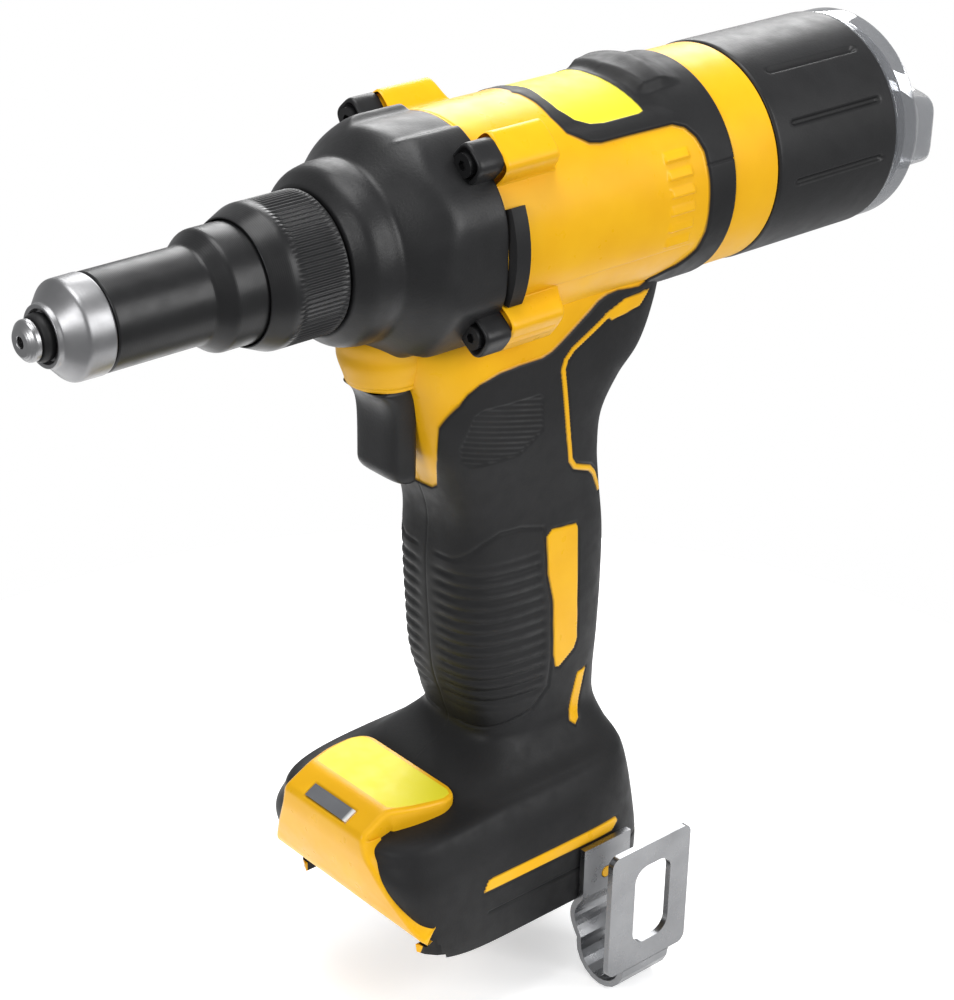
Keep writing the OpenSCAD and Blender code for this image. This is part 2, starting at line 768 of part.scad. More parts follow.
// Room for the trigger, its spring and the switch
module trigger_room() {
    wide = trigger_w / 2 + gap * 2;
    block([-wide, 0, z_trigger1 - 2 * gap], [wide, y_switch0 - seat, -chin_drop]);
    block([-switch_w / 2 - gap, y_switch0 - rib_t, z_stem - switch_h / 2 - gap],
        [switch_w / 2 + gap, y_switch1 + gap, z_stem + switch_h / 2 + gap]);
}

// Front of the foot that the bezel fills, as seen from ahead
module bezel_zone(grow, back) {
    half = foot_w / 2;
    z0 = -grip_drop;
    last = len(zone_shares) - 1;
    shape = concat([[zone_shares[0][0] * half, z0 + foot_h * zone_top_share]],
        [for (s = zone_shares) [s[0] * half, z0 - foot_h * s[1]]],
        [[zone_shares[last][0] * half, z_channel]]);
    left = [for (i = [len(shape) - 1:-1:0]) [-shape[i][0], shape[i][1]]];
    translate([0, back, 0]) rotate([90, 0, 0]) linear_extrude(foot_len)
        offset(delta = grow) polygon(concat(shape, left));
}

// Channel for the battery with the side rails left in
module battery_channel() {
    x = channel_w / 2;
    z1 = -foot_bottom - over;
    block([rail_w - x, 0, z1], [x - rail_w, y_channel1, z_channel]);
    block([-x, 0, -foot_bottom + rail_h], [x, y_channel1, z_channel]);
}

// Half of the moulded body: barrel, handle and foot
module housing_half() {
    shell_r = shell_d / 2;
    band_r = shell_r - band_t - seat;
    y_band = y_shell1 - band_len - seat;
    difference() {
        union() {
            arc_band([[barrel_bore_r, y_shell0], [shell_r, y_shell0], [shell_r, y_band], [band_r, y_band],
                [band_r, y_shell1], [barrel_bore_r, y_shell1]], 180, 90);
            skin(half_rings(overmould_t));
            for (a = lug_angles) rotate([0, a, 0]) lug_pad();
            chin();
        }
        bar(y_shell0 - over, y_shell1 + over, barrel_bore_r);
        spin(concat([[0, y_case0 - gap]], case_outline(gap), [[case_d / 2 + gap, y_shell0],
            [0, y_shell0]]));
        difference() {
            skin(half_rings(overmould_t + handle_wall));
            ribs();
        }
        trigger_room();
        bar(y_motor0 - over, y_fan0, stator_d / 2 + gap, 0, -motor_drop);
        bar(y_motor1, y_motor_rib0, fan_d / 2 + 2 * gap, 0, -motor_drop);
        bar(y_motor_rib0 - over, y_motor_rib0 + rib_t + over, motor_bearing_r + run, 0, -motor_drop);
        for (p = lug_places)
            bar(y_shell0 - over, y_shell0 + screw_len + gap, screw_r + run, p[0], p[1]);
        bezel_zone(0, y_bezel1);
        battery_channel();
        block([-over, block_y - gap, z_channel - over], [block_w / 2 + gap, block_y + block_len_y + gap,
            z_floor + over]);
        lead_room();
        bar(y_wheel0 - 2 * stub_len, y_plate0, motor_module * pinion_teeth, 0, -motor_drop);
    }
}

// Raised pad on the barrel behind a lug, drawn at the top
module lug_pad() {
    y1 = y_shell0 + screw_len + boss_wall;
    bar(y_shell0, y1, lug_d / 2, 0, lug_circle_r);
    block([-lug_d / 2, y_shell0, barrel_bore_r], [lug_d / 2, y1, lug_circle_r]);
}

// Half of the chin over the trigger
module chin() {
    y = trigger_rear - chin_front;
    half = [[0, -chin_drop], [chin_r - chin_edge_r, -chin_drop], [chin_r, chin_taper - chin_drop],
        [chin_r, -idler_drop / 2], [0, -idler_drop / 2]];
    translate([0, y, 0]) rotate([0, 0, -90]) rotate_extrude(angle = 180) polygon(half);
    translate([0, y + chin_r, 0]) rotate([90, 0, 0]) linear_extrude(chin_r) polygon(half);
}

// Way for the motor leads through the ribs
module lead_room() {
    x = lead_pitch * (lead_count - 1) / 2 + lead_r + gap;
    block([-x, lead_y - lead_r - gap, z_floor + over], [x, lead_y + lead_r + gap, -motor_drop]);
}

// Screw holes: a blind pilot in the left half, a clear hole and a sink in the right half
module pilot_holes() {
    for (p = screw_places)
        translate([-over, p[0], p[1]]) rotate([0, 90, 0]) cylinder(r = screw_r + run, h = tip_depth + 2 * over);
}
module sink_holes() {
    for (p = screw_places) translate([0, p[0], p[1]]) rotate([0, -90, 0]) {
        translate([0, 0, -over]) cylinder(r = screw_r + run, h = foot_w);
        translate([0, 0, head_seat]) cylinder(r = screw_head_r + gap, h = foot_w);
    }
}

module left_housing() {
    color("#f6b818") translate([seam / 2, 0, 0]) difference() {
        housing_half();
        pilot_holes();
    }
}

module right_housing() {
    color("#f6b818") translate([-seam / 2, 0, 0]) difference() {
        mirror([1, 0, 0]) housing_half();
        sink_holes();
    }
}

// Half of the soft overmould over the handle and foot
module grip_half() {
    difference() {
        skin(wall_rings(0, overmould_t - seat), true);
        bar(y_case0, y_ring1, shell_d / 2 + gap);
        bezel_zone(0, y_bezel1);
        battery_channel();
    }
}

module left_grip() {
    color("#2a2a2c") translate([seam / 2 + seat, 0, 0]) grip_half();
}

module right_grip() {
    color("#2a2a2c") translate([-seam / 2 - seat, 0, 0]) difference() {
        mirror([1, 0, 0]) grip_half();
        sink_holes();
    }
}

module rear_band() {
    r = shell_d / 2;
    y0 = y_shell1 - band_len;
    y_bump = y0 - bump_back;
    color("#232326") union() {
        arc_band([[r - band_t, y0], [r + seat, y0], [r + seat, y_shell1 - seat], [r - band_t, y_shell1 - seat]],
            band_angle);
        arc_band([[r + seat, y0 - saddle_len], [r + saddle_t / 2, y0 - saddle_len - over],
            [r + saddle_t, y0 - saddle_len + over], [r + saddle_t, y_shell1 - over],
            [r + seat, y_shell1 - over]], saddle_angle);
        arc_band([[r + seat, y_bump - bump_len], [r + saddle_t + bump_h, y_bump - bump_len / 2],
            [r + saddle_t + bump_h, y_bump + bump_len / 4], [r + seat, y_bump + bump_len]], bump_angle);
    }
}

module rear_ring() {
    spigot_r = barrel_bore_r - gap;
    bore_r = collector_d / 2 - 2 * collector_wall;
    web_t = pocket_floor * 2;
    color("#f6b818") spin([
        [tube_r + run, y_ring0 + over], [spigot_r - boss_wall, y_ring0 + over],
        [spigot_r - boss_wall, y_ring0 - band_len / 3], [spigot_r, y_ring0 - band_len / 3],
        [spigot_r, y_ring0], [ring_d / 2, y_ring0], [ring_d / 2, y_ring1], [bore_r, y_ring1],
        [bore_r, y_ring0 + over + web_t], [tube_r + run, y_ring0 + over + web_t]]);
}

module collector() {
    outer_r = collector_d / 2;
    inner_r = outer_r - collector_wall;
    spigot_r = outer_r - 2 * collector_wall - run;
    wall_y = y_collector0 + collector_wall;
    color("#242427") difference() {
        spin([
            [tube_r + gap, y_collector0], [spigot_r - collector_wall, y_collector0],
            [spigot_r - collector_wall, y_collector0 - ring_len / 2], [spigot_r, y_collector0 - ring_len / 2],
            [spigot_r, y_collector0], [outer_r, y_collector0], [outer_r, y_collector1],
            [inner_r, y_collector1], [inner_r, wall_y], [tube_r + gap, wall_y]]);
        for (i = [0:groove_count - 1]) rotate([0, (i + 0.5) * 360 / groove_count, 0])
            block([-groove_w / 2, y_collector0 + (collector_len - groove_len) / 2, outer_r - groove_deep],
                [groove_w / 2, y_collector0 + (collector_len + groove_len) / 2, outer_r + over]);
    }
}

module end_cap() {
    rim_r = cap_d / 2;
    spigot_r = collector_d / 2 - collector_wall - run;
    spigot = cap_len / 2;
    color("#dfe6ea", 0.5) union() {
        spin([
            [0, y_cap1 - collector_wall], [rim_r - 2 * collector_wall, y_cap1 - collector_wall],
            [spigot_r - collector_wall, y_cap0 - spigot], [spigot_r, y_cap0 - spigot], [spigot_r, y_cap0],
            [rim_r, y_cap0], [rim_r, y_cap1 - over], [rim_r - over, y_cap1], [0, y_cap1]]);
        along(y_cap1 - over) linear_extrude(cap_bar_h + over) intersection() {
            square([cap_d, cap_bar_w], center = true);
            circle(rim_r - over);
        }
    }
}

module mandrel_tube() {
    color("silver") pipe(y_screw1 - tube_front, y_collector0 + tube_back, tube_r, tube_r - tube_wall);
}

module ball_screw() {
    spigot_r = jaw_core_r - run;
    color("#b9bcc0") spin([
        [spring_pocket_r, y_screw0], [spigot_r, y_screw0], [spigot_r, y_jaw1 + seat], [screw_d / 2, y_jaw1 + seat],
        [screw_d / 2, y_screw1], [screw_bore_r, y_screw1], [screw_bore_r, y_pocket1],
        [spring_pocket_r, y_pocket1]]);
}

module jaw_case() {
    color("#8f9296") spin([
        [jaw_mouth_r, y_jaw0], [jaw_case_r, y_jaw0], [jaw_case_r, y_jaw1], [jaw_core_r, y_jaw1],
        [jaw_core_r, y_cone1], [jaw_mouth_r, y_cone0]]);
}

module jaws() {
    slope = (jaw_core_r - jaw_mouth_r) / jaw_cone_len;
    y0 = y_thread1 + nosepiece_cone + gap;
    y1 = y_pusher0 - gap;
    r0 = jaw_mouth_r + slope * (y0 - y_cone0) - jaw_play;
    r1 = jaw_mouth_r + slope * (y1 - y_cone0) - jaw_play;
    color("#77797c") for (i = [0:jaw_count - 1])
        arc_band([[mandrel_d / 2 + gap, y0], [r0, y0], [r1, y1], [mandrel_d / 2 + gap, y1]],
            360 / jaw_count - jaw_slit_angle, i * 360 / jaw_count);
}

module jaw_pusher() {
    bore = mandrel_d / 2 + mandrel_play;
    color("#a9acb0") spin([
        [bore, y_pusher0], [jaw_core_r - 2 * gap, y_pusher0], [jaw_core_r - 2 * gap, y_pusher1],
        [pusher_tail_r, y_pusher1], [pusher_tail_r, y_pusher1 + pusher_tail], [bore, y_pusher1 + pusher_tail]]);
}

module jaw_spring() {
    color("#9a9da1")
        spring(jaw_spring_r, spring_wire, jaw_spring_turns, y_pusher1 + seat, y_pocket1 - seat, 0);
}

module guide_block() {
    color("#8f9296") difference() {
        union() {
            bar(y_screw1 - block_len, y_screw1, block_r);
            block([-lug_reach, y_screw1 - block_len, -lug_h / 2], [lug_reach, y_screw1, lug_h / 2]);
        }
        bar(y_screw1 - block_len - over, y_screw1 + over, screw_d / 2 + run / 2);
    }
}

module screw_guide() {
    hub_r = bearing_r + run;
    flange_r = barrel_bore_r - gap;
    tube = guide_bore_r + guide_tube_wall;
    slot = lug_h / 2 + gap;
    reach = lug_reach + over;
    color("#55585c") difference() {
        spin([
            [hub_r, y_hub0], [hub_r + boss_wall, y_hub0], [hub_r + boss_wall, y_guide0], [flange_r, y_guide0],
            [flange_r, y_guide1], [tube, y_guide1], [tube, y_guide2], [guide_bore_r, y_guide2],
            [guide_bore_r, y_guide0], [hub_r, y_guide0]]);
        block([-reach, y_guide1 + over, -slot], [reach, y_guide2 + over, slot]);
        bar(y_motor0 - over, y_guide1 + over, stator_d / 2 + gap, 0, -motor_drop);
    }
}

module ball_nut() {
    color("#9fa2a6") pipe(y_bnut0, y_bnut1, ball_nut_d / 2, screw_d / 2 + gap);
}

module nut_gear() {
    color("#6d6f73") difference() {
        gear(y_gear0, y_gear1, 0, nut_teeth, final_module, 90);
        bar(y_gear0 - over, y_gear1 + over, ball_nut_d / 2 + run / 2);
    }
}

module nut_bearings() {
    color("#c3c6ca") {
        pipe(y_bearing0, y_bearing1 - gap, bearing_r, ball_nut_d / 2 + run);
        pipe(y_rear_bearing0, y_rear_bearing1, bearing_r, ball_nut_d / 2 + run);
    }
}

module thrust_bearing() {
    color("#c3c6ca") pipe(y_thrust0 + seat, y_thrust1, bearing_r, screw_d / 2 + 2 * gap);
}

module idler_gear() {
    hub_r = final_module * idler_small_teeth / 2 - final_module * dedendum_share;
    color("#6d6f73") difference() {
        union() {
            gear(y_gear0, y_gear1, idler_drop, idler_small_teeth, final_module, -90 + 180 / idler_small_teeth);
            gear(y_wheel0, y_wheel1, idler_drop, idler_teeth, motor_module, 90);
            bar(y_gear0 - gap, y_wheel1 + gap, hub_r, 0, -idler_drop);
        }
        bar(y_gear0 - over, y_wheel1 + over, axle_r + run, 0, -idler_drop);
    }
}

module idler_axle() {
    color("silver") bar(y_thrust0 + pocket_floor + gap, y_plate1, axle_r, 0, -idler_drop);
}

module gear_plate() {
    lobe_r = stator_d / 2;
    web = lobe_r * plate_web_share;
    color("#7d8084") difference() {
        union() {
            bar(y_plate0, y_plate1, barrel_bore_r - gap);
            bar(y_plate0, y_plate1, lobe_r, 0, -motor_drop);
            block([-web, y_plate0, -motor_drop], [web, y_plate1, 0]);
        }
        bar(y_plate0 - over, y_plate1 + over, ball_nut_d / 2 + 2 * gap);
        bar(y_plate0 - over, y_plate1 + over, axle_r + run, 0, -idler_drop);
        bar(y_plate0 - over, y_plate1 + over, motor_bearing_r + run, 0, -motor_drop);
    }
}

module motor_pinion() {
    color("#6d6f73") difference() {
        gear(y_wheel0, y_wheel1, motor_drop, pinion_teeth, motor_module, -90 + 180 / pinion_teeth);
        bar(y_wheel0 - over, y_wheel1 + over, shaft_d / 2 + run / 2, 0, -motor_drop);
    }
}

module motor_stator() {
    color("#5a5c60") translate([0, 0, -motor_drop])
        pipe(y_motor0, y_motor1, stator_d / 2, rotor_d / 2 + air_gap);
}

module motor_coils() {
    color("#b5622b") translate([0, 0, -motor_drop])
        pipe(y_motor1 + seat, y_motor1 + coil_len, stator_d / 2 * coil_r_share, rotor_d / 2 + air_gap + over);
}

module rotor_shaft() {
    color("silver") bar(y_wheel0 - stub_len, y_motor_rib0 + rib_t, shaft_d / 2, 0, -motor_drop);
}

module rotor_magnets() {
    color("#3d3f43") translate([0, 0, -motor_drop])
        pipe(y_motor0 + over, y_motor1 - over, rotor_d / 2, shaft_d / 2 + run / 2);
}

module motor_bearings() {
    color("#c3c6ca") translate([0, 0, -motor_drop]) {
        pipe(y_plate0, y_plate1, motor_bearing_r, shaft_d / 2 + run);
        pipe(y_motor_rib0, y_motor_rib0 + motor_bearing_t, motor_bearing_r, shaft_d / 2 + run);
    }
}

module cooling_fan() {
    color("#1d1d1f") translate([0, 0, -motor_drop]) difference() {
        union() {
            bar(y_fan0, y_fan0 + fan_disc, fan_d / 2);
            bar(y_fan0, y_fan1, fan_hub_r);
            for (i = [0:fan_blades - 1]) rotate([0, i * 360 / fan_blades, 0])
                block([fan_hub_r + over, y_fan0, -blade_t / 2], [fan_d / 2 - over, y_fan1, blade_t / 2]);
        }
        bar(y_fan0 - over, y_fan1 + over, shaft_d / 2 + run / 2);
    }
}

// Three leads from the control board up the handle to the stator
module motor_leads() {
    z0 = z_floor + block_rim + board_t + 3 * gap;
    z1 = -motor_drop - stator_d / 2 - gap;
    color("#3a3a3d") for (i = [0:lead_count - 1])
        translate([(i - (lead_count - 1) / 2) * lead_pitch, lead_y, z0]) cylinder(r = lead_r, h = z1 - z0);
}

module trigger() {
    y_lip = trigger_rear - trigger_lip;
    y_foot = trigger_rear - trigger_lip * trigger_foot_share;
    front = [for (i = [0:trigger_steps]) let (t = i / trigger_steps)
        [y_lip + (y_foot - y_lip) * t + trigger_sag * sin(180 * t), z_trigger0 - trigger_h * t]];
    color("#26272a") union() {
        translate([-trigger_w / 2, 0, 0]) rotate([90, 0, 90]) linear_extrude(trigger_w)
            polygon(concat(front, [[trigger_rear, z_trigger1], [trigger_rear, z_trigger0]]));
        bar(trigger_rear - over, trigger_rear + stem_len, stem_r, 0, z_stem);
    }
}

module trigger_spring() {
    color("#9a9da1") spring(trigger_spring_r, trigger_wire, trigger_spring_turns,
        trigger_rear + seat, y_switch0 - seat, z_stem);
}

module switch_body() {
    color("#1f2124") difference() {
        block([-switch_w / 2, y_switch0, z_stem - switch_h / 2], [switch_w / 2, y_switch1, z_stem + switch_h / 2]);
        bar(y_switch0 - over, y_switch1 - over, stem_r + run, 0, z_stem);
    }
}

module control_board() {
    z0 = z_floor + block_rim + 2 * gap;
    color("#1d5a35") block([-board_w / 2, board_y, z0], [board_w / 2, board_y + board_len, z0 + board_t]);
}

module terminal_block() {
    x = block_w / 2;
    color("#222326") union() {
        block([-x, block_y, z_channel - block_drop], [x, block_y + block_len_y, z_floor + gap]);
        block([-x - block_rim, block_y - block_rim, z_floor + gap],
            [x + block_rim, block_y + block_len_y + block_rim, z_floor + gap + block_rim]);
    }
}

module battery_contacts() {
    z0 = z_channel - block_drop + over;
    color("#c9a24a") for (i = [0:blade_count - 1]) {
        x = (i - (blade_count - 1) / 2) * blade_pitch;
        block([x - blade_w / 2, block_y - seat - blade_len, z0], [x + blade_w / 2, block_y - seat, z0 + blade_h]);
    }
}

// Outside of the bezel's lamp face, as a place in the middle plane
bezel_corners = [for (s = bezel_shares)
    [s[0] * foot_w / 2, foot_y - s[1] * foot_len / 2, -grip_drop - s[2] * foot_h]];
lamp_run = bezel_corners[1] - bezel_corners[2];
lamp_tilt = atan2(lamp_run[2], lamp_run[1]);
lamp_y = bezel_corners[1][1] - lamp_run[1] * lamp_place_share - bezel_edge_r * sin(lamp_tilt);
lamp_z = bezel_corners[1][2] - lamp_run[2] * lamp_place_share + bezel_edge_r * cos(lamp_tilt);

// Lamp block, grown by a clearance, sunk into the lamp face
module lamp_shape(wide, high, deep) {
    translate([0, lamp_y, lamp_z]) rotate([lamp_tilt, 0, 0])
        translate([-wide / 2, -high / 2, -deep]) cube([wide, high, deep]);
}

module foot_bezel() {
    color("#f6b818") difference() {
        intersection() {
            hull() both_sides() for (c = bezel_corners) translate(c) sphere(bezel_edge_r, $fn = coarse_fn);
            bezel_zone(-gap, y_bezel1 - gap);
        }
        lamp_shape(lamp_w + 2 * seat, lamp_h + 2 * seat, lamp_pocket);
    }
}

module lamp_board() {
    color("#2d6b45") difference() {
        lamp_shape(lamp_w, lamp_h, lamp_t + gap + lamp_board_t);
        lamp_shape(lamp_w + over, lamp_h + over, lamp_t + gap);
    }
}

module lamp_lens() {
    color("#9aa0a6") lamp_shape(lamp_w, lamp_h, lamp_t);
}

// Middle line of the hook's strip in the X-Z plane
function hook_line() =
    let (bend_r = hook_reach / 2, x0 = hook_x + hook_t / 2, zb = -hook_bottom + bend_r, z1 = -hook_top - leaf_h)
    concat([[x0, -hook_top], [x0, z1]],
        [for (i = [1:hook_steps - 1]) [x0 - bulge_in * sin(180 * i / hook_steps), z1 - bulge_len * i / hook_steps]],
        [[x0, z1 - bulge_len]],
        [for (i = [0:hook_steps]) [x0 + bend_r - bend_r * cos(180 * i / hook_steps),
            zb - bend_r * sin(180 * i / hook_steps)]]);

// Closed outline of a strip of even thickness along a line
function strip(line, t) =
    let (last = len(line) - 1,
        normal = [for (i = [0:last])
            let (d = line[min(i + 1, last)] - line[max(i - 1, 0)]) [-d[1], d[0]] / norm(d)])
    concat([for (i = [0:last]) line[i] + normal[i] * t / 2],
        [for (i = [last:-1:0]) line[i] - normal[i] * t / 2]);

module belt_hook() {
    x1 = hook_x + hook_t / 2 + hook_reach;
    bend_z = -hook_bottom + hook_reach / 2;
    slot_z = bend_z + hook_plate_h / 2;
    slot_y = hook_y + slot_y_shift;
    color("#a7aaae") difference() {
        union() {
            translate([0, hook_y + hook_leaf_w / 2, 0]) rotate([90, 0, 0]) linear_extrude(hook_leaf_w)
                polygon(strip(hook_line(), hook_t));
            translate([x1, hook_y, slot_z]) rotate([0, 90, 0])
                linear_extrude(hook_t, center = true) plate_outline(hook_plate_h, hook_plate_w, plate_corner_r);
        }
        translate([x1, slot_y, slot_z]) rotate([0, 90, 0])
            linear_extrude(2 * hook_t, center = true) plate_outline(slot_h, slot_w, slot_w / 3);
        translate([hook_x - over, hook_y, -hook_top - latch_drop]) rotate([0, 90, 0])
            cylinder(r = latch_r + gap, h = hook_t + 2 * over);
    }
}

// Rectangle with rounded corners, for the hook's plate and its slot
module plate_outline(high, wide, r) {
    for (a = [-1, 1], b = [-1, 1]) translate([a * (high / 2 - r), b * (wide / 2 - r)]) circle(r);
    square([high, wide - 2 * r], center = true);
    square([high - 2 * r, wide], center = true);
}

module hook_latch() {
    color("#f6b818") translate([foot_w / 2 + 3 * seat, hook_y, -hook_top - latch_drop]) rotate([0, 90, 0])
        cylinder(r = latch_r, h = hook_t + gap);
}

module housing_screws() {
    color("#1c1c1e") for (p = screw_places) translate([0, p[0], p[1]]) rotate([0, -90, 0]) difference() {
        union() {
            translate([0, 0, -tip_depth]) cylinder(r = screw_r, h = tip_depth + head_seat + 3 * seat);
            translate([0, 0, head_seat + 2 * seat]) cylinder(r = screw_head_r, h = screw_head_t);
        }
        translate([0, 0, head_seat + screw_head_t / 2]) cylinder(r = hex_r, h = screw_head_t, $fn = 6);
    }
}

nosepiece();
nose_collar();
nose_sleeve();
retaining_nut();
gearcase_cover();
gearcase_screws();
side_bumpers();
left_housing();
right_housing();
left_grip();
right_grip();
rear_band();
rear_ring();
collector();
end_cap();
mandrel_tube();
ball_screw();
jaw_case();
jaws();
jaw_pusher();
jaw_spring();
guide_block();
screw_guide();
ball_nut();
nut_gear();
nut_bearings();
thrust_bearing();
idler_gear();
idler_axle();
gear_plate();
motor_pinion();
motor_stator();
motor_coils();
rotor_shaft();
rotor_magnets();
motor_bearings();
cooling_fan();
motor_leads();
trigger();
trigger_spring();
switch_body();
control_board();
terminal_block();
battery_contacts();
foot_bezel();
lamp_board();
lamp_lens();
belt_hook();
hook_latch();
housing_screws();
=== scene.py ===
"""Looks of a battery rivet tool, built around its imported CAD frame."""

import json
import logging
import math
from dataclasses import dataclass, field
from enum import Enum
from typing import Callable, Optional, Sequence

import bpy
import numpy as np
from mathutils import Matrix, Vector


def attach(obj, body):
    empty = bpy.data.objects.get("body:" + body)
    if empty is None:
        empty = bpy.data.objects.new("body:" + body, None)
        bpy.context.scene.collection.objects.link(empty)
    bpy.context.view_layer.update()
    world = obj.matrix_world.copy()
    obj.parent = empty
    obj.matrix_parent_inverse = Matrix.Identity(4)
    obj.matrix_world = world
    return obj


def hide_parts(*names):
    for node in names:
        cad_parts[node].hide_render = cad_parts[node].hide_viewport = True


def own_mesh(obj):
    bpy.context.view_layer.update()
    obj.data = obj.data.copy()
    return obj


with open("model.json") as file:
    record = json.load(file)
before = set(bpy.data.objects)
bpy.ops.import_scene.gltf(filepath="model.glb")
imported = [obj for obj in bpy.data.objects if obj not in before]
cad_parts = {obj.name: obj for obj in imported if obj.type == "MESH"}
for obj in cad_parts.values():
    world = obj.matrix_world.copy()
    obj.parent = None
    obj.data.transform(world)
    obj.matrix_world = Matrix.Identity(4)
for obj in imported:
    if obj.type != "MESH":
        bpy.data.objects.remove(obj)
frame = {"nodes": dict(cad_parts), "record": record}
LOG = logging.getLogger("rivet_tool")
MM = 0.001
FULL_TURN = 2.0 * math.pi
# Stored distance of points that lie in none of a skin's fields
FAR = 9.0
Array = np.ndarray
Span = tuple[float, float]
Place = tuple[float, float, float]
Pairs = Sequence[Span]
Outline = Pairs
Profile = Sequence[tuple[float, float, float]]
Relief = Callable[[Array, Array], Array]
Colour = tuple[float, float, float, float]

YELLOW: Colour = (0.93, 0.50, 0.010, 1.0)
YELLOW_DEEP: Colour = (0.87, 0.44, 0.007, 1.0)
LABEL: Colour = (0.93, 0.83, 0.035, 1.0)
BLACK: Colour = (0.010, 0.010, 0.0105, 1.0)
BLACK_WORN: Colour = (0.014, 0.014, 0.0148, 1.0)
WHITE: Colour = (1.0, 1.0, 1.0, 1.0)


class Body(Enum):
    """CAD bodies that the pieces ride on."""

    HOUSING = "housing"
    TRIGGER = "trigger"
    COLLECTOR = "collector"
    END_CAP = "end_cap"
    NUT = "retaining_nut"


class Slot(Enum):
    """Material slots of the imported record."""

    STEEL = "steel"
    COLLAR = "bright_collar"
    BLACK_STEEL = "black_steel"
    CASE = "black_case"
    YELLOW = "yellow_shell"
    RUBBER = "black_overmould"
    CLEAR = "clear_cap"
    LAMP = "lamp"
    COPPER = "copper"
    BOARD = "board"
    LEAD = "lead_cover"


class Side(Enum):
    """Sides of the tool, as signs along X."""

    LEFT = 1
    RIGHT = -1


def smoothstep(low: float, high: float, value: Array) -> Array:
    """Ease from 0 at low to 1 at high.

    Args:
        low: value where the result is 0.
        high: value where the result is 1; it may be below low.
        value: values to ease.

    Returns:
        Eased values of the same shape.
    """
    t = np.clip((value - low) / (high - low), 0.0, 1.0)
    return t * t * (3.0 - 2.0 * t)


def around(count: int) -> Array:
    """Even angles of one full turn, as a single row."""
    return np.linspace(0.0, FULL_TURN, count, endpoint=False)[None, :]


def squared(wave: Array, power: float) -> Array:
    """A sine or cosine raised to a power with its sign kept, which squares a circle off."""
    return np.sign(wave) * np.abs(wave) ** power


def turned(radius: Array, station: Array, angle: Array, centre: Span = (0.0, 0.0)) -> Array:
    """Points about a line along the barrel: at angle a from the top they are (r sin a, station, r cos a).

    Args:
        radius: radius of each point.
        station: place of each point along the barrel.
        angle: angle of each point.
        centre: place of the line across and up.

    Returns:
        Points, with the coordinates last.
    """
    x, z = centre
    return np.stack([x + radius * np.sin(angle), station + 0.0 * angle, z + radius * np.cos(angle)], -1)


def line_distance(points: Array, line: Outline) -> Array:
    """Distance from points to an open line.

    Args:
        points: array of shape (n, 2).
        line: corners of the line.

    Returns:
        Least distance of each point, shape (n,).
    """
    best = np.full(len(points), np.inf)
    corners = np.asarray(line, float)
    for a, b in zip(corners[:-1], corners[1:]):
        d = b - a
        t = np.clip(((points - a) @ d) / (d @ d), 0.0, 1.0)
        best = np.minimum(best, np.linalg.norm(points - a - t[:, None] * d, axis=1))
    return best


def area_distance(points: Array, outline: Outline) -> Array:
    """Signed distance from points to a closed outline, below zero inside.

    Args:
        points: array of shape (n, 2).
        outline: corners of the outline in order.

    Returns:
        Signed distance of each point, shape (n,).
    """
    corners = np.asarray(outline, float)
    closed = np.vstack([corners, corners[:1]])
    inside = np.zeros(len(points), bool)
    for a, b in zip(closed[:-1], closed[1:]):
        crosses = (a[1] > points[:, 1]) != (b[1] > points[:, 1])
        with np.errstate(divide="ignore", invalid="ignore"):
            at = a[0] + (points[:, 1] - a[1]) * (b[0] - a[0]) / (b[1] - a[1])
        inside ^= crosses & (points[:, 0] < at)
    return np.where(inside, -1.0, 1.0) * line_distance(points, closed)


def rounded(profile: Sequence[Sequence[float]], steps: int = 5) -> Array:
    """Round the corners of an open line, each with a quadratic curve between two points on its legs.

    Args:
        profile: corners as coordinates followed by a fillet.
        steps: points of each curve.

    Returns:
        Points of the rounded line.
    """
    most = 0.45
    pts = np.array([p[:-1] for p in profile], float)
    t = np.linspace(0.0, 1.0, steps)[:, None]
    out = [pts[:1]]
    for before, corner, after, given in zip(pts[:-2], pts[1:-1], pts[2:], profile[1:-1]):
        a, b = before - corner, after - corner
        la, lb = np.linalg.norm(a), np.linalg.norm(b)
        cut = min(given[-1], most * la, most * lb)
        start, end = corner + a / la * cut, corner + b / lb * cut
        out.append((1 - t) ** 2 * start + 2 * t * (1 - t) * corner + t**2 * end)
    out.append(pts[-1:])
    return np.concatenate(out)


def refined(line: Array, step: float) -> Array:
    """Split a line's longer pieces so that no step is longer than asked.

    Args:
        line: points of the line.
        step: longest step.

    Returns:
        Points of the finer line.
    """
    out = [line[0]]
    for a, b in zip(line[:-1], line[1:]):
        count = max(1, int(math.ceil(np.linalg.norm(b - a) / step)))
        out.extend(a + (b - a) * (np.arange(1, count + 1) / count)[:, None])
    return np.array(out)


@dataclass
class Surface:
    """A skin over a grid of points, in millimetres."""

    points: Array
    wrap_columns: bool = False
    attributes: dict[str, Array] = field(default_factory=dict)
    keep: Optional[Array] = None

    def faces(self) -> Array:
        """Quads of the grid, wrapping where asked and left out where a corner isn't kept.

        Returns:
            Corner numbers, shape (n, 4).
        """
        rows, columns = self.points.shape[:2]
        i = np.arange(rows - 1)
        j = np.arange(columns if self.wrap_columns else columns - 1)
        i, j = np.meshgrid(i, j, indexing="ij")
        i1, j1 = i + 1, (j + 1) % columns
        quads = [i * columns + j, i * columns + j1, i1 * columns + j1, i1 * columns + j]
        faces = np.stack(quads, -1).reshape(-1, 4)
        return faces if self.keep is None else faces[self.keep.ravel()[faces].all(axis=1)]


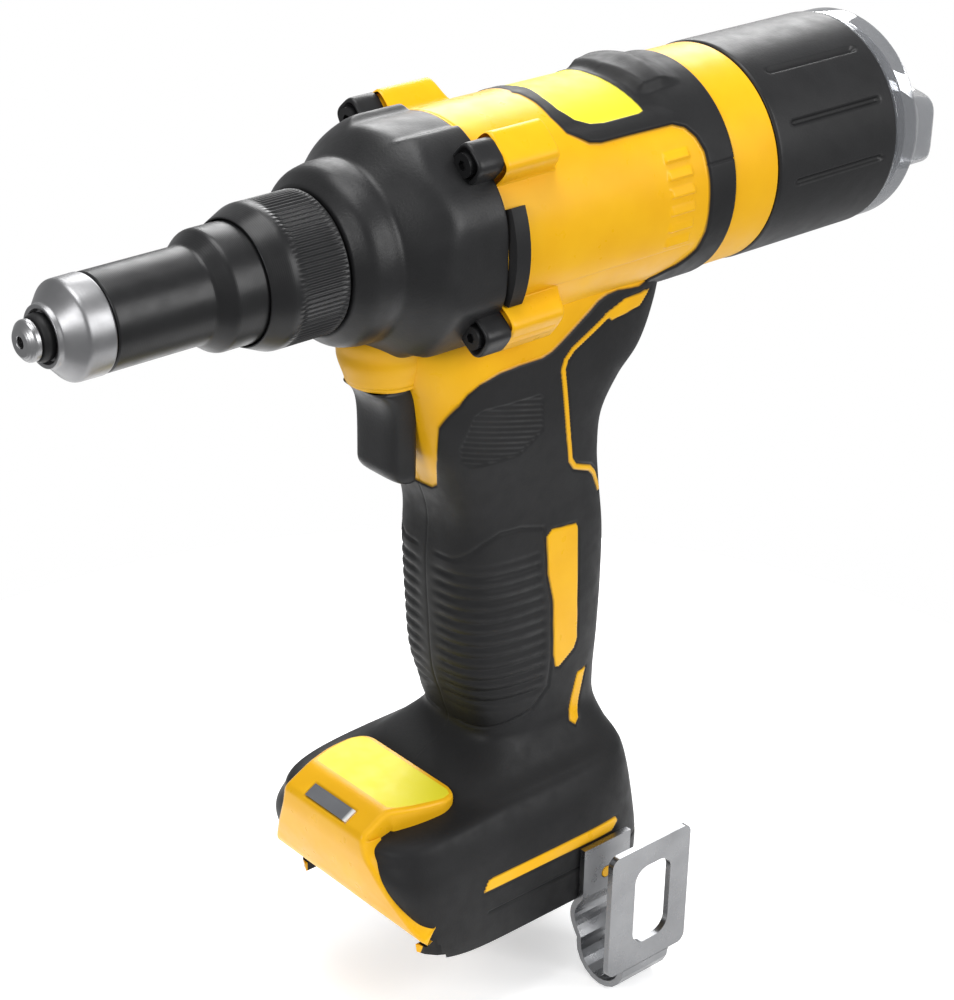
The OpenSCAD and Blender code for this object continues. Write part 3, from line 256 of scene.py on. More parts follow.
class Piece:
    """Makes one shown piece out of surfaces and sets what it rides on."""

    def __init__(self, name: str, body: Body, slot: Slot) -> None:
        """Remember the piece's name, body and slot.

        Args:
            name: name of the object.
            body: CAD body that it rides on.
            slot: record slot of its finish.
        """
        self.name, self.body, self.slot = name, body, slot

    def mesh(self, points: Array, quads: Array) -> bpy.types.Mesh:
        """Put points and smooth quads into a new mesh.

        Args:
            points: places in metres, shape (n, 3).
            quads: corner numbers, shape (m, 4).

        Returns:
            The new mesh.
        """
        mesh = bpy.data.meshes.new(self.name)
        mesh.vertices.add(len(points))
        mesh.vertices.foreach_set("co", points.astype(np.float32).ravel())
        mesh.loops.add(quads.size)
        mesh.loops.foreach_set("vertex_index", quads.astype(np.int32).ravel())
        mesh.polygons.add(len(quads))
        mesh.polygons.foreach_set("loop_start", np.arange(0, quads.size, 4, dtype=np.int32))
        mesh.polygons.foreach_set("use_smooth", np.ones(len(quads), bool))
        mesh.update(calc_edges=True)
        return mesh

    def make(
        self, surfaces: Sequence[Surface], material: bpy.types.Material, stands_for: Sequence[str] = ()
    ) -> bpy.types.Object:
        """Build the mesh object from grids of points.

        Args:
            surfaces: grids that make up the piece.
            material: finish of the piece.
            stands_for: CAD nodes that it is shown for.

        Returns:
            The new object at the origin.
        """
        verts, quads, start = [], [], 0
        names = sorted({n for s in surfaces for n in s.attributes})
        values: dict[str, list[Array]] = {n: [] for n in names}
        for s in surfaces:
            flat = s.points.reshape(-1, 3)
            verts.append(flat * MM)
            quads.append(s.faces() + start)
            start += len(flat)
            for n in names:
                given = s.attributes.get(n)
                values[n].append(np.full(len(flat), FAR) if given is None else given.reshape(-1))
        mesh = self.mesh(np.concatenate(verts), np.concatenate(quads))
        for n in names:
            layer = mesh.attributes.new(n, "FLOAT", "POINT")
            layer.data.foreach_set("value", np.concatenate(values[n]).astype(np.float32))
        mesh.materials.append(material)
        obj = bpy.data.objects.new(self.name, mesh)
        bpy.context.scene.collection.objects.link(obj)
        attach(obj, self.body.value)
        if stands_for:
            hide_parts(*stands_for)
        LOG.info("%s: %d points, rides on %s", self.name, start, self.body.value)
        return obj


class Nodes:
    """Small kit for building one material's node tree."""

    def __init__(self, name: str) -> None:
        """Start a material with its surface shader and the object's coordinates.

        Args:
            name: name of the material.
        """
        self.material = bpy.data.materials.new(name)
        self.material.use_nodes = True
        self.tree = self.material.node_tree
        self.shader = self.tree.nodes["Principled BSDF"]
        self.place = self.add("ShaderNodeTexCoord").outputs["Object"]

    def add(self, kind: str, **settings: object) -> bpy.types.Node:
        """Add a node and set its properties.

        Args:
            kind: Blender's node type.
            settings: properties to set on it.

        Returns:
            The new node.
        """
        node = self.tree.nodes.new(kind)
        for key, value in settings.items():
            setattr(node, key, value)
        return node

    def link(self, source: object, target: bpy.types.NodeSocket) -> None:
        """Link an output to an input, or set the input to a plain value.

        Args:
            source: output socket or plain value.
            target: input socket.
        """
        if isinstance(source, bpy.types.NodeSocket):
            self.tree.links.new(source, target)
        else:
            target.default_value = source

    def noise(self, scale: float, detail: float = 3.0) -> bpy.types.NodeSocket:
        """Noise over the object's place.

        Args:
            scale: grains a metre.
            detail: octaves of the noise.

        Returns:
            Noise value socket.
        """
        node = self.add("ShaderNodeTexNoise")
        self.link(self.place, node.inputs["Vector"])
        node.inputs["Scale"].default_value = scale
        node.inputs["Detail"].default_value = detail
        return node.outputs["Fac"]

    def cloud(self, scale: float, detail: float = 3.0, to: Span = (0.0, 1.0)) -> bpy.types.NodeSocket:
        """Noise whose middle range is spread over a span.

        Args:
            scale: grains a metre.
            detail: octaves of the noise.
            to: results at the ends of the middle range.

        Returns:
            Result socket.
        """
        return self.span(self.noise(scale, detail), (0.3, 0.7), to)

    def span(self, value: object, given: Span, to: Span = (0.0, 1.0)) -> bpy.types.NodeSocket:
        """Carry a value from one range to another, held at the ends.

        Args:
            value: socket to carry.
            given: ends of its range.
            to: results at those ends.

        Returns:
            Result socket.
        """
        node = self.add("ShaderNodeMapRange")
        for key, v in zip(("Value", "From Min", "From Max", "To Min", "To Max"), (value, *given, *to)):
            self.link(v, node.inputs[key])
        return node.outputs["Result"]

    def math(self, operation: str, a: object, b: object = 0.0) -> bpy.types.NodeSocket:
        """Join two values by a sum, product or the like.

        Args:
            operation: Blender's name of the operation.
            a: first value.
            b: second value.

        Returns:
            Result socket.
        """
        node = self.add("ShaderNodeMath", operation=operation)
        self.link(a, node.inputs[0])
        self.link(b, node.inputs[1])
        return node.outputs[0]

    def mix(self, share: object, a: object, b: object) -> bpy.types.NodeSocket:
        """Mix two colours.

        Args:
            share: share of the second colour.
            a: first colour.
            b: second colour.

        Returns:
            Colour socket.
        """
        node = self.add("ShaderNodeMix", data_type="RGBA")
        self.link(share, node.inputs[0])
        self.link(a, node.inputs[6])
        self.link(b, node.inputs[7])
        return node.outputs[2]

    def value(self, name: str) -> bpy.types.NodeSocket:
        """A value stored on the mesh's points."""
        return self.add("ShaderNodeAttribute", attribute_name=name).outputs["Fac"]

    def axis(self, index: int) -> bpy.types.NodeSocket:
        """One coordinate of the object's place, in metres.

        Args:
            index: 0, 1 or 2 for X, Y or Z.

        Returns:
            Coordinate socket.
        """
        node = self.add("ShaderNodeSeparateXYZ")
        self.link(self.place, node.inputs[0])
        return node.outputs[index]

    def set(self, name: str, source: object) -> None:
        """Link or set one of the shader's inputs."""
        self.link(source, self.shader.inputs[name])

    def base(self) -> bpy.types.NodeSocket:
        """The socket that feeds the shader's colour so far."""
        return self.shader.inputs["Base Color"].links[0].from_socket

    def bump(self, height: bpy.types.NodeSocket, depth: float) -> None:
        """Tilt the shader's normal by a height.

        Args:
            height: height, as a share of the depth.
            depth: metres that a height of 1 stands for.
        """
        node = self.add("ShaderNodeBump")
        node.inputs["Strength"].default_value = 1.0
        node.inputs["Distance"].default_value = depth
        self.link(height, node.inputs["Height"])
        self.set("Normal", node.outputs["Normal"])


@dataclass(frozen=True)
class Finish:
    """A finish with two close tones, a roughness range and a fine grain; lengths in metres."""

    name: str
    tone: Colour
    other: Colour
    rough: Span = (0.35, 0.5)
    grain: float = 900.0
    depth: float = 0.00004
    metal: float = 0.0
    coat: float = 0.0
    shine: float = 0.3
    tone_grain: float = 60.0
    rough_grain: float = 180.0

    def nodes(self) -> Nodes:
        """Build the finish's nodes.

        Returns:
            The node kit, for finishes that add to it.
        """
        n = Nodes(self.name)
        n.set("Base Color", n.mix(n.cloud(self.tone_grain), self.tone, self.other))
        n.set("Roughness", n.cloud(self.rough_grain, 2.0, self.rough))
        n.set("Metallic", self.metal)
        n.set("Coat Weight", self.coat)
        n.set("Specular IOR Level", self.shine)
        n.bump(n.noise(self.grain), self.depth)
        return n

    def build(self) -> bpy.types.Material:
        """The finish as a material."""
        return self.nodes().material


@dataclass(frozen=True)
class TurnedFinish(Finish):
    """Metal with fine rings left by turning, along one axis."""

    axis: int = 1
    pitch: float = 0.0005
    jitter_grain: float = 90.0
    jitter: float = 1.5

    def nodes(self) -> Nodes:
        """Put a fine wave along the axis in place of the plain grain.

        Returns:
            The node kit.
        """
        n = super().nodes()
        turn = n.math("MULTIPLY", n.axis(self.axis), FULL_TURN / self.pitch)
        jitter = n.math("MULTIPLY", n.noise(self.jitter_grain), self.jitter)
        n.bump(n.math("SINE", n.math("ADD", turn, jitter)), self.depth)
        return n


@dataclass(frozen=True)
class PaintedFinish(Finish):
    """Two mouldings in one skin: yellow plastic, and black rubber where the stored distance is below zero.

    Edges are in the millimetres of the stored distances.
    """

    edge: float = 0.1
    seam: Span = (0.1, 0.45)
    seam_dark: float = 0.55
    fine_grain: float = 220.0
    fine: Span = (-0.06, 0.06)
    rough_both: Span = (0.33, 0.52)
    label_rough: float = 0.15
    patch_edge: float = 0.3
    patch_slant: float = 0.25
    patch_pitch: float = 0.0017
    patch_depth: float = 3.0
    yellow_grain: float = 0.25

    def nodes(self) -> Nodes:
        """Mix yellow, black and label tones by the stored distances, with a dark seam between them.

        Returns:
            The node kit.
        """
        n = Nodes(self.name)
        edge = (-self.edge, self.edge)
        black = n.span(n.value("black"), edge, (1.0, 0.0))
        label = n.span(n.value("label"), edge, (1.0, 0.0))
        off_seam = n.span(n.math("ABSOLUTE", n.value("black")), self.seam)
        cloud = n.cloud(self.tone_grain)
        yellow = n.mix(label, n.mix(cloud, YELLOW, YELLOW_DEEP), LABEL)
        both = n.mix(black, yellow, n.mix(cloud, self.tone, self.other))
        n.set("Base Color", n.mix(off_seam, n.mix(self.seam_dark, both, BLACK), both))
        fine = n.cloud(self.fine_grain, 2.0, self.fine)
        matt = n.math("MULTIPLY", label, self.label_rough)
        rough = n.math("ADD", n.span(black, (0.0, 1.0), self.rough_both), matt)
        n.set("Roughness", n.math("ADD", rough, fine))
        n.set("Specular IOR Level", self.shine)
        patch = n.span(n.value("patch"), (-self.patch_edge, self.patch_edge), (1.0, 0.0))
        slant = n.math("ADD", n.axis(2), n.math("MULTIPLY", n.axis(1), self.patch_slant))
        rows = n.math("SINE", n.math("MULTIPLY", slant, FULL_TURN / self.patch_pitch))
        rows = n.math("MULTIPLY", n.math("MULTIPLY", rows, patch), self.patch_depth)
        grain = n.math("MULTIPLY", n.noise(self.grain), n.span(black, (0.0, 1.0), (self.yellow_grain, 1.0)))
        n.bump(n.math("ADD", grain, rows), self.depth)
        return n


@dataclass(frozen=True)
class LampFinish(Finish):
    """Grey lamp lens whose left end is painted near-white as a painted highlight, a glint on the lens."""

    bright: Span = (0.0078, 0.009)
    glint_tone: Colour = (0.9, 0.9, 0.88, 1.0)

    def nodes(self) -> Nodes:
        """Whiten the lens beyond a place along X, as a painted highlight for the glint on the lens.

        Returns:
            The node kit.
        """
        n = super().nodes()
        # Painted highlight: the lens's left end is mixed to near-white to stand for a glint.
        n.set("Base Color", n.mix(n.span(n.axis(0), self.bright), n.base(), self.glint_tone))
        return n


@dataclass(frozen=True)
class RailFinish(Finish):
    """Plastic that is black below a height and behind a station, where the battery rails are."""

    below: float = -0.2072
    behind: float = 0.107
    edge: float = 0.0001

    def nodes(self) -> Nodes:
        """Mix black in under the height and behind the station.

        Returns:
            The node kit.
        """
        n = super().nodes()
        low = n.span(n.axis(2), (self.below - self.edge, self.below), (1.0, 0.0))
        far = n.span(n.axis(1), (self.behind, self.behind + self.edge))
        n.set("Base Color", n.mix(n.math("MULTIPLY", low, far), n.base(), BLACK))
        return n


@dataclass(frozen=True)
class ClearFinish(Finish):
    """Clear moulded plastic that lets most light through."""

    clear: float = 0.9
    bend: float = 1.12

    def nodes(self) -> Nodes:
        """Make the plain finish transmit light.

        Returns:
            The node kit.
        """
        n = super().nodes()
        n.set("Transmission Weight", self.clear)
        n.set("IOR", self.bend)
        return n


class Finishes:
    """All finishes of the tool, by record slot."""

    def __init__(self) -> None:
        """Build a material for each slot, the painted skin, the railed plastic and the nosepiece's steel."""
        worn = (BLACK, BLACK_WORN)
        shell = (YELLOW, YELLOW_DEEP, (0.32, 0.44), 1000.0, 0.000008)
        steel = ((0.25, 0.253, 0.26, 1.0), (0.20, 0.203, 0.21, 1.0))
        collar = ((0.28, 0.28, 0.285, 1.0), (0.23, 0.23, 0.235, 1.0))
        clear = ((0.54, 0.55, 0.57, 1.0), (0.46, 0.47, 0.49, 1.0))
        lens = ((0.13, 0.135, 0.145, 1.0), (0.18, 0.185, 0.195, 1.0))
        copper = ((0.75, 0.36, 0.16, 1.0), (0.62, 0.28, 0.12, 1.0))
        board = ((0.02, 0.16, 0.07, 1.0), (0.015, 0.12, 0.05, 1.0))
        lead = ((0.03, 0.03, 0.032, 1.0), (0.05, 0.05, 0.052, 1.0))
        tip = ((0.32, 0.32, 0.325, 1.0), (0.25, 0.25, 0.255, 1.0))
        plans = {
            Slot.STEEL: Finish("brushed steel", *steel, (0.22, 0.36), 1500.0, 0.000006, metal=1.0),
            Slot.COLLAR: TurnedFinish(
                "turned collar", *collar, (0.34, 0.44), 1500.0, 0.000002, metal=1.0, shine=0.5, pitch=0.0011),
            Slot.BLACK_STEEL: TurnedFinish("blackened steel", *worn, (0.3, 0.4), 1500.0, 0.000004, metal=0.1),
            Slot.CASE: Finish("satin case", *worn, (0.36, 0.46), 1300.0, 0.00004),
            Slot.YELLOW: Finish("yellow plastic", *shell, shine=0.22),
            Slot.RUBBER: Finish("soft overmould", *worn, (0.46, 0.58), 1400.0, 0.00004, shine=0.22),
            Slot.CLEAR: ClearFinish(
                "clear plastic", *clear, (0.04, 0.1), 300.0, 0.00001, coat=0.8, shine=0.5),
            Slot.LAMP: LampFinish("lamp lens", *lens, (0.1, 0.2), 400.0, 0.00002, coat=0.4),
            Slot.COPPER: Finish("copper", *copper, (0.25, 0.4), 900.0, 0.00004, metal=1.0),
            Slot.BOARD: Finish("coated board", *board, (0.35, 0.5), 600.0, 0.00003),
            Slot.LEAD: Finish("lead cover", *lead, (0.4, 0.5), 700.0, 0.00003),
        }
        self.by_slot = {slot: plan.build() for slot, plan in plans.items()}
        self.skin = PaintedFinish("painted skin", *worn, (0.4, 0.5), 1400.0, 0.00003, shine=0.22).build()
        self.rails = RailFinish("railed plastic", *shell, shine=0.22).build()
        self.tip = TurnedFinish("dark turned steel", *tip, (0.28, 0.4), 1500.0, 0.00001, metal=1.0).build()

    def dress_cad(self) -> None:
        """Give every CAD node the finish of its record slot, and the housings the railed plastic."""
        for part in frame["record"]["subparts"]:
            mesh = frame["nodes"][part["node"]].data
            mesh.materials.clear()
            housing = part["node"].endswith("_housing")
            mesh.materials.append(self.rails if housing else self.by_slot[Slot(part["material_slot"])])


@dataclass(frozen=True)
class Lathe:
    """A turned shape about a line along the barrel; a corner is radius, station and fillet in millimetres."""

    profile: Profile
    segments: int = 160
    step: float = 4.0
    centre: Span = (0.0, 0.0)

    def surface(self, relief: Optional[Relief] = None) -> Surface:
        """Turn the rounded profile: at angle a the point is (r sin a, station, r cos a).

        Args:
            relief: extra radius as a function of station and angle, or none.

        Returns:
            The turned surface.
        """
        line = refined(rounded(self.profile), self.step)
        a = around(self.segments)
        r, y = line[:, :1], line[:, 1:]
        grown = r + (relief(y, a) if relief else 0.0) + 0.0 * a
        return Surface(turned(grown, y, a, self.centre), wrap_columns=True)


@dataclass(frozen=True)
class Assembly:
    """A sub-assembly whose sizes are its fields, in millimetres, and degrees from the top of the barrel.

    A span that eases a form in or out starts where the form has no height.
    """

    finishes: Finishes

    def show(
        self, name: str, body: Body, slot: Slot, surfaces: Sequence[Surface], stands_for: Sequence[str] = (),
        material: Optional[bpy.types.Material] = None
    ) -> bpy.types.Object:
        """Make one piece, in its slot's finish unless another is given.

        Args:
            name: name of the object.
            body: CAD body that it rides on.
            slot: record slot of its finish.
            surfaces: grids that make up the piece.
            stands_for: CAD nodes that it is shown for.
            material: finish to use instead of the slot's.

        Returns:
            The new object.
        """
        return Piece(name, body, slot).make(surfaces, material or self.finishes.by_slot[slot], stands_for)


@dataclass(frozen=True)
class Nose(Assembly):
    """Nosepiece with its seal, bright collar, black sleeve and knurled nut."""

    tip: Profile = (
        (1.55, 12.0, 0), (1.55, 0.25, 0.3), (2.0, 0.0, 0.2), (3.6, 0.0, 0.5), (5.5, 1.6, 0.7),
        (5.5, 3.3, 0.3), (4.8, 3.5, 0.2), (4.8, 6.6, 0))
    seal: Profile = ((4.7, 3.7, 0), (5.7, 3.9, 0.3), (6.3, 5.0, 0.6), (6.2, 7.0, 0.3), (4.7, 7.4, 0))
    collar: Profile = (
        (4.86, 8.8, 0), (4.9, 8.4, 0.1), (6.7, 8.2, 0.2), (7.1, 6.3, 0.3), (8.2, 6.1, 0.4), (8.5, 7.6, 0.3),
        (9.3, 8.4, 0.4), (13.3, 12.2, 0.9), (13.4, 19.6, 0.3), (13.0, 20.1, 0.2), (11.5, 20.1, 0))
    sleeve: Profile = (
        (11.8, 20.4, 0), (12.8, 20.4, 0.2), (13.2, 20.9, 0.2), (13.2, 50.0, 0.8), (16.5, 54.6, 1.0),
        (16.5, 68.0, 0))
    nut: Profile = (
        (16.9, 70.0, 0), (16.9, 64.0, 0.3), (17.4, 64.0, 0.4), (20.0, 70.2, 1.0), (20.0, 87.6, 0.4),
        (19.5, 88.0, 0.2), (18.4, 88.0, 0))
    nut_segments: int = 900
    nut_step: float = 1.2
    ridges: int = 90
    ridge_depth: float = 0.45
    ridge_power: float = 0.7
    knurl: Span = (72.8, 87.2)
    knurl_ease: float = 0.5

    def ridge_relief(self, y: Array, a: Array) -> Array:
        """Radius taken off between the nut's ridges: a cosine round the nut, eased out at the knurl's ends.

        Args:
            y: stations.
            a: angles.

        Returns:
            Radius change at each station and angle.
        """
        low, high = self.knurl
        band = smoothstep(low, low + self.knurl_ease, y) * smoothstep(high, high - self.knurl_ease, y)
        return -band * self.ridge_depth * (0.5 - 0.5 * np.cos(self.ridges * a)) ** self.ridge_power

    def build(self) -> None:
        """Make the five turned pieces."""
        plain = (self.tip, self.seal, self.collar, self.sleeve)
        tip, seal, collar, sleeve = (Lathe(profile).surface() for profile in plain)
        nut = Lathe(self.nut, self.nut_segments, self.nut_step).surface(self.ridge_relief)
        rubber = self.finishes.by_slot[Slot.RUBBER]
        self.show("nosepiece_skin", Body.HOUSING, Slot.STEEL, [tip], ["nosepiece"], self.finishes.tip)
        self.show("tip_seal", Body.HOUSING, Slot.BLACK_STEEL, [seal], material=rubber)
        self.show("collar_skin", Body.HOUSING, Slot.COLLAR, [collar], ["nose_collar"])
        self.show("sleeve_skin", Body.HOUSING, Slot.BLACK_STEEL, [sleeve], ["nose_sleeve"])
        self.show("nut_skin", Body.NUT, Slot.BLACK_STEEL, [nut], ["retaining_nut"])


@dataclass(frozen=True)
class Gearcase(Assembly):
    """Black gearcase cover with flats and screw lugs.

    A flat is the angle of its normal and its distance from the axis. A lug's row is its size as a share and its
    distance from the lug's front.
    """

    profile: Profile = (
        (17.8, 86.0, 0), (17.9, 88.5, 0.2), (20.6, 88.6, 0.6), (24.6, 92.6, 2.0), (25.6, 98.0, 2.0),
        (25.4, 101.5, 1.5), (27.0, 103.5, 1.2), (31.6, 109.0, 2.5), (34.6, 114.0, 3.0), (34.6, 130.4, 0.5),
        (34.0, 130.95, 0.3), (31.0, 131.0, 0))
    segments: int = 360
    step: float = 0.8
    flats: Pairs = ((90.0, 32.9), (42.0, 33.6), (128.0, 33.6))
    least_cosine: float = 0.3
    crown: float = 32.4
    crown_top: Span = (0.72, 0.97)
    crown_low: Span = (-0.6, -0.85)
    no_limit: float = 99.0
    sharpness: float = 1.6
    middle: float = 30.0
    flats_from: Span = (101.0, 106.0)
    lug_angles: tuple[float, ...] = (42.7, 125.9)
    lug_circle: float = 35.8
    lug_half: float = 5.2
    lug_front: float = 122.4
    lug_rows: Pairs = (
        (0.3, 1.4), (0.74, 1.4), (0.78, 0.2), (0.86, 0.0), (0.95, 0.25), (0.99, 0.8), (1.0, 1.6), (1.0, 4.6),
        (1.0, 8.2), (0.97, 8.6), (0.4, 8.6))
    lug_segments: int = 72
    lug_power: float = 0.6
    lug_root: float = 1.5
    root_from: float = 0.9

    def cover(self) -> Surface:
        """Turn the profile and cut it by flats: the radius is a soft least of the turned radius, each
        flat's distance over the cosine of the angle from its normal, and the crown at the top and the bottom.

        Returns:
            The cover's outer surface.
        """
        line = refined(rounded(self.profile), self.step)
        a = around(self.segments)
        r, y = line[:, :1], line[:, 1:]
        limits = [r + 0.0 * a]
        for angle, away in self.flats:
            for side in (Side.RIGHT, Side.LEFT):
                c = np.cos(a - math.radians(angle) * side.value)
                flat = np.where(c > self.least_cosine, away / np.maximum(c, self.least_cosine), self.no_limit)
                limits.append(flat + 0.0 * y)
        near = np.maximum(smoothstep(*self.crown_top, np.cos(a)), smoothstep(*self.crown_low, np.cos(a)))
        limits.append(self.no_limit - (self.no_limit - self.crown) * near + 0.0 * y)
        total = np.sum([np.exp(-(v - self.middle) * self.sharpness) for v in limits], axis=0)
        grown = -np.log(total) / self.sharpness + self.middle
        share = smoothstep(*self.flats_from, y)
        return Surface(turned(r * (1.0 - share) + grown * share, y, a), wrap_columns=True)

    def lug(self, angle: float) -> Surface:
        """An ear round a screw: a squarish section along the barrel, with a rounded rim and a sunk seat.

        Args:
            angle: degrees from the top, towards the left side.

        Returns:
            The ear's surface.
        """
        t = around(self.lug_segments)
        size, along = np.array(self.lug_rows).T[..., None]
        across = self.lug_half * size * squared(np.cos(t), self.lug_power)
        out = self.lug_half * size * squared(np.sin(t), self.lug_power)
        root = (out < 0.0) & (size > self.root_from)
        out = np.where(root, out * self.lug_root, out) + self.lug_circle
        s, c = math.sin(math.radians(angle)), math.cos(math.radians(angle))
        points = [out * s + across * c, self.lug_front + along + 0.0 * t, out * c - across * s]
        return Surface(np.stack(points, -1), wrap_columns=True)

    def build(self) -> None:
        """Make the cover and its lugs as one piece."""
        lugs = [self.lug(angle * side.value) for side in Side for angle in self.lug_angles]
        self.show("gearcase_skin", Body.HOUSING, Slot.CASE, [self.cover(), *lugs], ["gearcase_cover"])


@dataclass(frozen=True)
class Barrel(Assembly):
    """Yellow barrel skin with the black saddle and band, label field, hump, pads and louvers.

    Corners of the band and the label are station and angle. A pad is its angle and half its width.
    """

    radius: float = 32.55
    start: float = 131.1
    end: float = 218.0
    reach: float = 150.0
    grid: tuple[int, int] = (195, 500)
    band: Outline = (
        (160.0, -1.0), (161.2, 3.0), (161.7, 15.0), (161.4, 27.0), (162.6, 38.0), (168.0, 46.0),
        (172.0, 47.5), (180.8, 47.5), (199.1, 48.0), (203.0, 51.0), (205.6, 57.0), (207.2, 65.0),
        (207.5, 79.0), (207.5, 92.0), (208.0, 107.0), (207.2, 118.0), (202.9, 129.0), (196.0, 138.0),
        (196.0, 160.0), (230.0, 160.0), (230.0, -1.0))
    band_edge: Span = (0.35, -0.55)
    saddle_lift: float = 0.3
    band_lift: float = 0.8
    saddle_rear: Span = (197.0, 204.0)
    saddle_side: Span = (34.0, 46.0)
    label: Outline = (
        (166.4, -1.0), (165.4, 12.0), (165.6, 23.0), (168.0, 32.0), (172.0, 36.5), (176.6, 38.0),
        (190.0, 38.0), (192.0, 37.0), (192.2, 35.0), (191.2, 25.0), (190.0, 12.0), (189.3, -1.0))
    label_edge: Span = (0.2, -0.3)
    label_sunk: float = 0.3
    hump_lift: float = 2.2
    hump_front: Span = (190.6, 195.0)
    hump_slant: float = 0.12
    hump_rear: Span = (213.0, 203.0)
    hump_side: Span = (29.0, 23.5)
    hump_label: Span = (-0.2, 0.6)
    pads: Pairs = ((42.7, 11.5), (125.9, 11.5))
    pad_lift: float = 8.45
    pad_rear: Span = (153.6, 149.4)
    pad_power: int = 8
    louvers: tuple[float, ...] = (63.0, 72.0, 81.0, 90.0, 99.0, 108.0)
    louver_middle: float = 196.8
    louver_shift: float = 0.4
    shift_past: float = 80.0
    louver_half: float = 4.6
    louver_reach: float = 2.5
    louver_least: float = 0.15
    louver_rise: float = 0.75
    louver_edge: Span = (0.35, -0.35)
    crease: float = 0.5
    crease_side: Span = (113.6, 114.6)
    crease_bend: float = 0.6
    bend_front: Span = (160.0, 150.0)
    crease_rear: Span = (206.0, 200.0)
    joint_angle: float = 72.0
    joint_depth: float = 0.4
    joint_half: float = 0.5
    joint_edge: Span = (0.3, -0.3)
    joint_front: Span = (204.0, 206.0)
    front_rim: float = 0.6
    front_rim_reach: float = 0.7
    rear_rim: float = 0.5
    rear_rim_reach: float = 0.6

    def black_lift(self, y: Array, side: Array, black: Array, label: Array) -> Array:
        """Height of the saddle, the band and the hump, less the sunk label.

        Args:
            y: stations.
            side: angles from the top.
            black: distances to the black field.
            label: distances to the label field.

        Returns:
            Height over the plain radius.
        """
        band = np.maximum(smoothstep(*self.saddle_rear, y), smoothstep(*self.saddle_side, side))
        lift = (self.saddle_lift + self.band_lift * band) * smoothstep(*self.band_edge, black)
        lift = lift - self.label_sunk * smoothstep(*self.label_edge, label)
        hump = smoothstep(*self.hump_front, y - self.hump_slant * side)
        hump = hump * smoothstep(*self.hump_rear, y) * smoothstep(*self.hump_side, side)
        return lift + self.hump_lift * hump * smoothstep(*self.hump_label, label)

    def louver_relief(self, y: Array, side: Array, arc: float) -> Array:
        """Height of the louvers: boxes whose height grows across each of them.

        Args:
            y: stations.
            side: angles from the top.
            arc: millimetres a degree.

        Returns:
            Height over the plain radius.
        """
        lift = np.zeros(y.shape)
        off = y - self.louver_middle - self.louver_shift * (side > self.shift_past)
        along = np.abs(off) - self.louver_half
        for middle in self.louvers:
            box = np.maximum(along, (np.abs(side - middle) - self.louver_reach) * arc)
            share = np.clip((side - middle + self.louver_reach) / (2.0 * self.louver_reach), 0.0, 1.0)
            lift += (self.louver_least + self.louver_rise * share) * smoothstep(*self.louver_edge, box)
        return lift

    def skin(self) -> Surface:
        """A cylinder with relief: at angle a from the top the point is (r sin a, y, r cos a), where r is the
        plain radius plus the saddle, hump, pads and louvers, less the label, crease, band's joint and rims.

        Returns:
            The skin with the distances to the black and label fields.
        """
        rows, columns = self.grid
        stations = np.linspace(self.start, self.end, rows)
        y, a = np.meshgrid(stations, np.linspace(-self.reach, self.reach, columns), indexing="ij")
        side, arc = np.abs(a), math.radians(1.0) * self.radius
        flat = np.stack([y.ravel(), side.ravel() * arc], 1)
        black = area_distance(flat, [(p, q * arc) for p, q in self.band]).reshape(y.shape)
        label = area_distance(flat, [(p, q * arc) for p, q in self.label]).reshape(y.shape)
        lift = self.black_lift(y, side, black, label)
        for middle, half in self.pads:
            across = np.clip(np.abs(side - middle) / half, 0.0, 1.0)
            pad = self.pad_lift * (1.0 - across**self.pad_power) * smoothstep(*self.pad_rear, y)
            lift = np.maximum(lift, pad)
        lift += self.louver_relief(y, side, arc)
        bent = side + self.crease_bend * smoothstep(*self.bend_front, y)
        lift -= self.crease * smoothstep(*self.crease_side, bent) * smoothstep(*self.crease_rear, y)
        joint = smoothstep(self.joint_half, 0.0, np.abs(side - self.joint_angle) * arc)
        joint = joint * smoothstep(*self.joint_edge, black) * smoothstep(*self.joint_front, y)
        lift -= self.joint_depth * joint
        lift -= self.front_rim * smoothstep(self.front_rim_reach, 0.0, y - self.start)
        lift -= self.rear_rim * smoothstep(self.rear_rim_reach, 0.0, self.end - y)
        fields = {"black": np.maximum(black, -label), "label": label, "patch": np.full(y.shape, FAR)}
        return Surface(turned(self.radius + lift, y, np.radians(a)), attributes=fields)

    def build(self) -> None:
        """Make the barrel skin, in place of the black band."""
        self.show("barrel_skin", Body.HOUSING, Slot.YELLOW, [self.skin()], ["rear_band"], self.finishes.skin)


